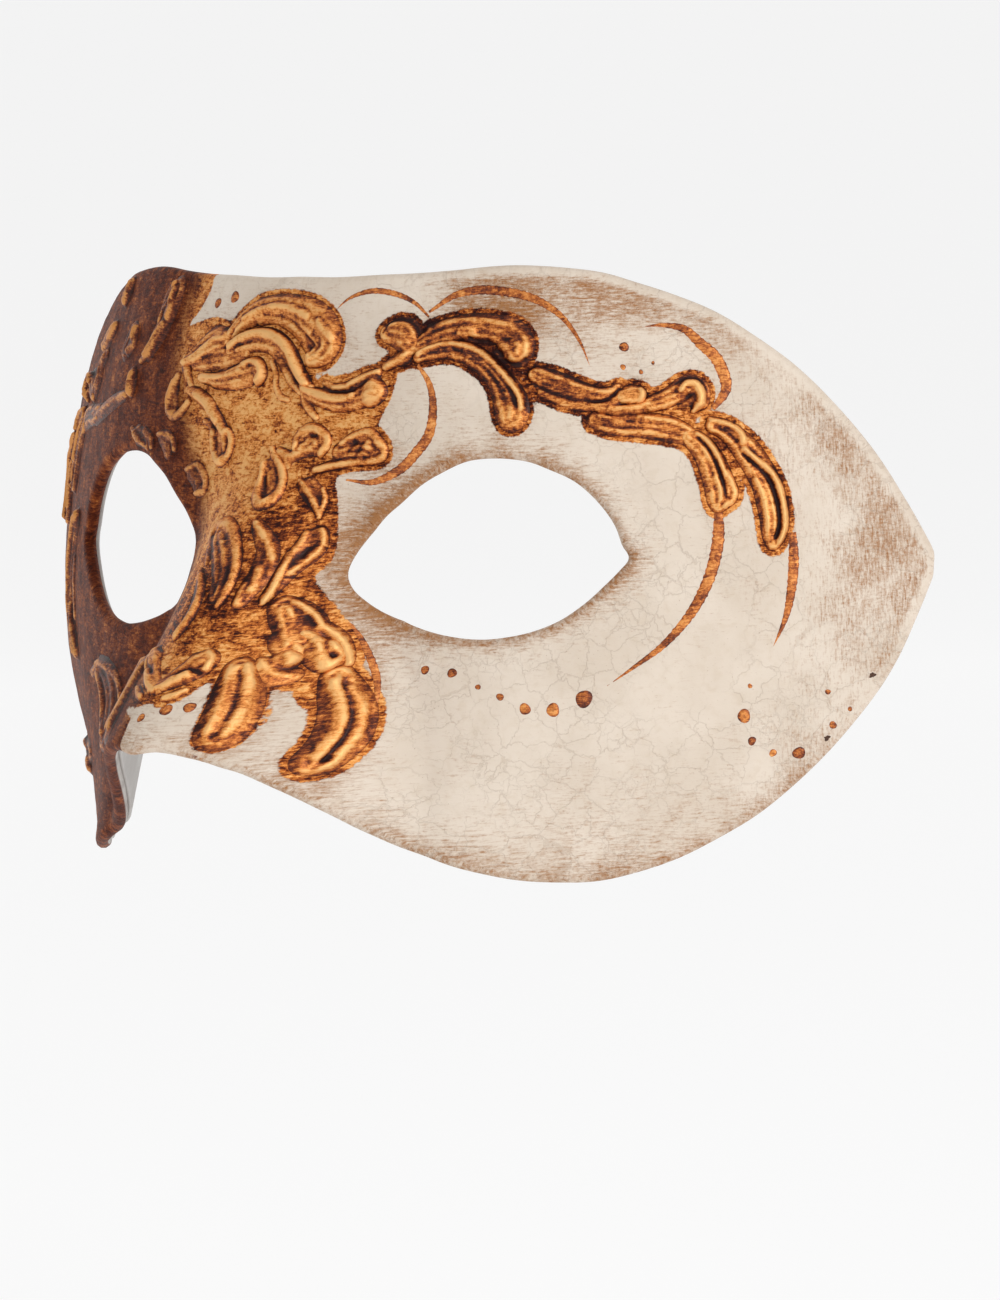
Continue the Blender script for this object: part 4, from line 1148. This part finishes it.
def shell_material():
    g = Graph("gesso_and_paint")
    sz = g.attr("sz", True)
    gold, gap, edge, eye = g.attr("gold"), g.attr("gap"), g.attr("edge"), g.attr("eye")
    wear, far, glo, side = g.attr("wear"), g.attr("far"), g.attr("glo"), g.attr("side")
    # cream gesso
    soft = g.noise(sz, 0.06, 3, 0.5)
    mott = g.noise(sz, 0.55, 4, 0.6, 0.5)
    cream = g.mix(g.step(soft, 0.35, 0.65), C(219, 204, 187), C(228, 214, 198))
    cream = g.mix(g.math("MULTIPLY", g.step(mott, 0.45, 0.8), 0.35), cream, C(206, 186, 162))
    # brown patina brushed and rubbed into the scratches
    hor = g.noise(g.scale(sz, (0.26, 1.9, 1.0), (0, 0, math.radians(6))), 1.5, 7, 0.74, 0.5)
    ver = g.noise(g.scale(sz, (2.0, 0.34, 1.0), (0, 0, math.radians(-14))), 1.4, 7, 0.74, 0.5)
    dia = g.noise(g.scale(sz, (0.5, 3.2, 1.0), (0, 0, math.radians(-58))), 1.2, 5, 0.65, 0.2)
    spot = g.noise(sz, 1.7, 5, 0.72, 0.0)
    sx = g.nt.nodes.new("ShaderNodeSeparateXYZ")
    g.nt.links.new(sz, sx.inputs[0])
    out_zone = g.step(sx.outputs[0], 70, 92)
    scr = g.nt.nodes.new("ShaderNodeMix")
    scr.data_type = "FLOAT"
    g.put(scr.inputs[0], out_zone)
    g.put(scr.inputs[2], hor)
    g.put(scr.inputs[3], ver)
    scr = scr.outputs[0]
    big = g.noise(sz, 0.11, 4, 0.6, 0.6)
    zone = g.math("MULTIPLY_ADD", g.math("SUBTRACT", big, 0.5), 0.9, wear)
    pat = g.math("MULTIPLY_ADD", g.math("SUBTRACT", scr, 0.5), 1.9, g.math("MULTIPLY_ADD", g.math("SUBTRACT", spot, 0.5), 0.8, g.math("MULTIPLY_ADD", g.math("SUBTRACT", dia, 0.5), 0.55, zone)))
    pat = g.step(pat, 0.20, 1.0)
    col = g.mix(g.math("MULTIPLY", pat, 0.95), cream, C(160, 106, 56))
    fleck = g.noise(g.scale(sz, (1.2, 2.2, 1.0), (0, 0, math.radians(12))), 1.6, 6, 0.76, 0.4)
    deep = g.math("MULTIPLY", g.step(fleck, 0.52, 0.66), g.step(zone, 0.22, 0.85))
    col = g.mix(g.math("MULTIPLY", deep, 0.85), col, C(118, 70, 34))
    # tiny pits
    pit = g.noise(sz, 3.4, 2, 0.5)
    pits = g.step(pit, 0.70, 0.76)
    col = g.mix(g.math("MULTIPLY", pits, 0.5), col, C(150, 108, 72))
    # crackle
    warp = g.noise(sz, 0.5, 3, 0.6)
    cv = g.nt.nodes.new("ShaderNodeVectorMath")
    cv.operation = "MULTIPLY_ADD"
    comb = g.nt.nodes.new("ShaderNodeCombineXYZ")
    g.put(comb.inputs[0], warp)
    g.put(comb.inputs[1], g.noise(sz, 0.43, 3, 0.6))
    g.nt.links.new(comb.outputs[0], cv.inputs[0])
    cv.inputs[1].default_value = (3.2, 3.2, 0)
    flat = g.nt.nodes.new("ShaderNodeVectorMath")
    flat.operation = "MULTIPLY"
    g.nt.links.new(sz, flat.inputs[0])
    flat.inputs[1].default_value = (1, 1, 0)
    g.nt.links.new(flat.outputs[0], cv.inputs[2])
    ck = g.cracks(cv.outputs[0], 0.21, 0.95)
    ck2 = g.cracks(cv.outputs[0], 0.55, 1.0)
    line = g.step(ck, 0.020, 0.004)
    line2 = g.math("MULTIPLY", g.step(ck2, 0.03, 0.006), g.step(g.noise(sz, 0.09, 2, 0.5), 0.48, 0.62))
    lines = g.math("MAXIMUM", line, line2)
    area = g.step(g.noise(sz, 0.05, 2, 0.5, 0.3), 0.36, 0.56)
    lines = g.math("MULTIPLY", lines, area)
    col = g.mix(g.math("MULTIPLY", lines, 0.17), col, C(150, 120, 96))
    # stained rims round the eyes and along the edge
    eyerim = g.math("MULTIPLY", g.step(g.math("MULTIPLY_ADD", spot, 1.2, eye), 1.9, 0.7), 0.75)
    col = g.mix(eyerim, col, C(150, 106, 70))
    edgerim = g.math("MULTIPLY", g.step(g.math("MULTIPLY_ADD", spot, 1.0, edge), 1.75, 1.0), 0.35)
    col = g.mix(edgerim, col, C(176, 140, 108))
    # gold and bronze paint
    t, brush, speck, _ = gilt_tone(g, g.math("MULTIPLY_ADD", glo, 0.70, 0.10), 1.6)
    crease = g.step(gap, 0.7, 0.0)
    t = g.math("MULTIPLY_ADD", crease, -0.12, t)
    inner = g.step(gold, 0.0, 2.2)
    t = g.math("MULTIPLY_ADD", g.math("SUBTRACT", inner, 0.8), 0.16, t)
    paint = g.mix(far, g.ramp(t, GILT), g.ramp(g.math("MULTIPLY_ADD", g.math("SUBTRACT", t, 0.45), 0.55, 0.44), DARK))
    ragged = g.math("MULTIPLY_ADD", g.math("SUBTRACT", g.noise(sz, 1.4, 4, 0.65, 0.3), 0.5), 0.9, gold)
    mask = g.step(ragged, -0.10, 0.12)
    thin = g.math("SUBTRACT", 1.0, g.math("MULTIPLY", g.step(g.math("MULTIPLY_ADD", brush, 1.6, g.math("MULTIPLY", gold, 0.3)), 0.55, 0.15), 0.7))
    mask = g.math("MULTIPLY", mask, thin)
    col = g.mix(mask, col, paint)
    # bare paper on the rear side
    back = g.step(side, 1.2, 1.8)
    grey = g.mix(g.step(g.noise(sz, 0.4, 5, 0.6), 0.35, 0.7), C(214, 209, 204), C(190, 183, 178))
    col = g.mix(back, col, grey)
    g.set("Base Color", col)
    g.set("Metallic", g.math("MULTIPLY", mask, g.math("MULTIPLY_ADD", far, 0.22, 0.42)))
    rough = g.math("MULTIPLY_ADD", mott, 0.16, 0.42)
    rough = g.math("MULTIPLY_ADD", mask, -0.06, rough)
    rough = g.math("MULTIPLY_ADD", back, 0.3, g.math("MULTIPLY_ADD", g.math("MULTIPLY", far, mask), 0.12, rough))
    g.set("Roughness", rough)
    g.bsdf.inputs["Specular IOR Level"].default_value = 0.14
    g.bsdf.inputs["Coat Weight"].default_value = 0.0
    g.bsdf.inputs["Coat Roughness"].default_value = 0.35
    h = g.math("MULTIPLY_ADD", lines, -0.9, g.math("MULTIPLY_ADD", pits, -0.7, g.math("MULTIPLY", dia, 0.5)))
    h = g.math("MULTIPLY_ADD", scr, 0.6, h)
    h = g.math("MULTIPLY_ADD", g.math("MULTIPLY", mask, g.math("ADD", brush, g.math("MULTIPLY", speck, 0.7))), 2.6, h)
    g.set("Normal", g.bump(h, 0.55, 0.00012))
    return g.mat


def stroke_material():
    g = Graph("bronze_brush_paint")
    acr = g.attr("acr")
    t, brush, speck, sz = gilt_tone(g, 0.50)
    rim = g.step(g.math("ABSOLUTE", acr), 0.55, 1.0)
    t = g.math("MULTIPLY_ADD", rim, -0.20, t)
    g.set("Base Color", g.ramp(t, GILT))
    g.bsdf.inputs["Metallic"].default_value = 0.35
    g.set("Roughness", g.math("MULTIPLY_ADD", speck, 0.3, 0.3))
    g.set("Normal", g.bump(g.math("ADD", brush, speck), 0.4, 0.00008))
    return g.mat


def chip_material():
    g = Graph("bare_brown_chip")
    sz = g.attr("sz", True)
    g.set("Base Color", g.mix(g.noise(sz, 1.6, 4, 0.6), C(44, 24, 14), C(96, 58, 34)))
    g.set("Roughness", g.math("MULTIPLY_ADD", g.noise(sz, 3, 3), 0.3, 0.5))
    g.set("Normal", g.bump(g.noise(sz, 3.0, 4, 0.7), 0.6, 0.0001))
    return g.mat


def paper_material(name, light, dark, fibre):
    g = Graph(name)
    co = g.nt.nodes.new("ShaderNodeTexCoord").outputs["Object"]
    mm = g.scale(co, (1000, 1000, 1000))
    patch = g.nt.nodes.new("ShaderNodeTexVoronoi")
    patch.feature = "F1"
    g.put(patch.inputs["Vector"], g.scale(mm, (0.028, 0.028, 0.075), (0.3, 0.9, 0.5)))
    patch.inputs["Scale"].default_value = 1.0
    tone = g.nt.nodes.new("ShaderNodeSeparateColor")
    g.nt.links.new(patch.outputs["Color"], tone.inputs[0])
    torn = g.cracks(g.scale(mm, (0.028, 0.028, 0.075), (0.3, 0.9, 0.5)), 1.0)
    tear = g.math("MULTIPLY", g.step(g.math("MULTIPLY_ADD", g.noise(mm, 0.7, 5, 0.75), 0.11, torn), 0.085, 0.05), g.step(g.noise(mm, 0.05, 2, 0.5), 0.42, 0.62))
    fib = g.noise(g.scale(mm, (0.35, 0.35, 3.0), (0.4, 0.9, 0.2)), 1.0, 6, 0.7, 0.8)
    fuzz = g.noise(mm, 2.4, 5, 0.7)
    col = g.mix(g.math("MULTIPLY_ADD", tone.outputs[0], 0.35, g.math("MULTIPLY", g.noise(mm, 0.16, 4, 0.6), 0.6)), light, dark)
    col = g.mix(g.math("MULTIPLY", g.step(fib, 0.52, 0.72), fibre), col, dark)
    col = g.mix(g.math("MULTIPLY", tear, 0.30), col, C(158, 150, 142))
    g.set("Base Color", col)
    g.set("Roughness", g.math("MULTIPLY_ADD", fuzz, 0.15, 0.78))
    h = g.math("MULTIPLY_ADD", fuzz, 0.35, g.math("MULTIPLY_ADD", fib, 0.4, g.math("MULTIPLY", tear, -0.7)))
    g.set("Normal", g.bump(h, 0.6, 0.00025))
    return g.mat


M_STUCCO, M_SHELL, M_STROKE, M_CHIP = stucco_material(), shell_material(), stroke_material(), chip_material()
M_LINING = paper_material("grey_white_lining_paper", C(214, 211, 207), C(178, 172, 168), 0.5)
M_CARD = paper_material("pressed_card", C(186, 168, 140), C(140, 118, 90), 0.7)

shell.data.materials.append(M_SHELL)
lining.data.materials.append(M_LINING)
for ob in relief.values():
    ob.data.materials.append(M_STUCCO)
for ob, m in ((flourishes, M_STROKE), (dots, M_STROKE), (chips, M_CHIP)):
    ob.data.materials.append(m)

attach(shell, "root")
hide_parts("mask_shell")
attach(lining, "root")
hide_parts("inner_lining")
for node, ob in relief.items():
    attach(ob, "root")
    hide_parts(node)
for ob in (flourishes, dots, chips):
    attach(ob, "root")
for node in ("left_ribbon_tab", "right_ribbon_tab"):
    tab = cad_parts[node]
    tab.data.materials.clear()
    tab.data.materials.append(M_CARD)

# ---------------------------------------------------------------- camera
POS = Vector(((CAM_C[0]) * MM, (CAM_C[1] - BRIDGE_Y) * MM, CAM_C[2] * MM))
cam_data = bpy.data.cameras.new("camera")
cam = bpy.data.objects.new("camera", cam_data)
bpy.context.scene.collection.objects.link(cam)
rot = Matrix((CAM_R, CAM_U, CAM_B)).transposed()
cam.matrix_world = Matrix.Translation(POS) @ rot.to_4x4()
cam_data.sensor_width = 36.0
cam_data.lens = CAM_F * 36.0 / 1300.0
cam_data.clip_start = 0.01
cam_data.clip_end = 20
bpy.context.scene.camera = cam

# ---------------------------------------------------------------- stage and light
def backdrop():
    """A pale floor that curves up into a wall behind the object, as seen from the camera."""
    b = Vector((CAM_B[0], CAM_B[1], 0)).normalized()
    r = Vector((-b.y, b.x, 0))
    prof = [(2.5, -0.16)]
    R, back = 0.7, -1.3
    for i in range(0, 25):
        t = i / 24 * math.pi / 2
        prof.append((back - R * math.sin(t), -0.16 + R * (1 - math.cos(t))))
    prof.append((back - R, 3.0))
    V, Fc = [], []
    for x, z in prof:
        for w in (-4.0, 4.0):
            p = b * x + r * w
            V.append((p.x, p.y, z))
    for i in range(len(prof) - 1):
        Fc.append((2 * i, 2 * i + 1, 2 * i + 3, 2 * i + 2))
    ob = make_object("floor", np.array(V), np.array(Fc))
    g = Graph("floor")
    co = g.nt.nodes.new("ShaderNodeTexCoord").outputs["Object"]
    g.set("Base Color", g.mix(g.noise(co, 3.0, 2), C(136, 136, 136), C(138, 138, 138)))
    g.bsdf.inputs["Roughness"].default_value = 0.9
    g.bsdf.inputs["Emission Color"].default_value = (1, 1, 1, 1)
    g.bsdf.inputs["Emission Strength"].default_value = FLOOR_GLOW
    ob.data.materials.append(g.mat)


FLOOR_GLOW = 0.74
backdrop()
world = bpy.data.worlds.new("world")
bpy.context.scene.world = world
world.use_nodes = True
wn = world.node_tree
wn.nodes["Background"].inputs[0].default_value = (1, 1, 1, 1)
ray = wn.nodes.new("ShaderNodeLightPath")
lift = wn.nodes.new("ShaderNodeMapRange")
wn.links.new(ray.outputs["Is Camera Ray"], lift.inputs["Value"])
lift.inputs["To Min"].default_value = 0.36
lift.inputs["To Max"].default_value = 0.90
wn.links.new(lift.outputs["Result"], wn.nodes["Background"].inputs[1])

AIM = Vector((0.02, 0.0, -0.005))


def softbox(name, right, up, toward, size, power, colour=(1, 1, 1)):
    """Area light placed in the camera's own directions, in metres from the object."""
    d = Vector(CAM_R) * right + Vector((0, 0, 1)) * up + Vector(CAM_B) * toward
    data = bpy.data.lights.new(name, "AREA")
    data.shape = "RECTANGLE"
    data.size, data.size_y = size
    data.energy = power
    data.color = colour
    ob = bpy.data.objects.new(name, data)
    bpy.context.scene.collection.objects.link(ob)
    ob.location = AIM + d
    ob.rotation_mode = "QUATERNION"
    ob.rotation_quaternion = (-d).to_track_quat("-Z", "Y")


softbox("key", 0.75, 0.30, 0.75, (0.40, 0.50), 5.6)
softbox("fill", -0.80, 0.25, 0.70, (0.60, 0.70), 1.7)
softbox("top", 0.05, 0.95, 0.15, (0.80, 0.50), 1.6)
softbox("kick", 0.55, -0.25, 0.55, (0.50, 0.40), 0.6)

bpy.context.scene.view_settings.view_transform = "Standard"
bpy.context.scene.view_settings.look = "None"
bpy.context.scene.view_settings.exposure = 0.0
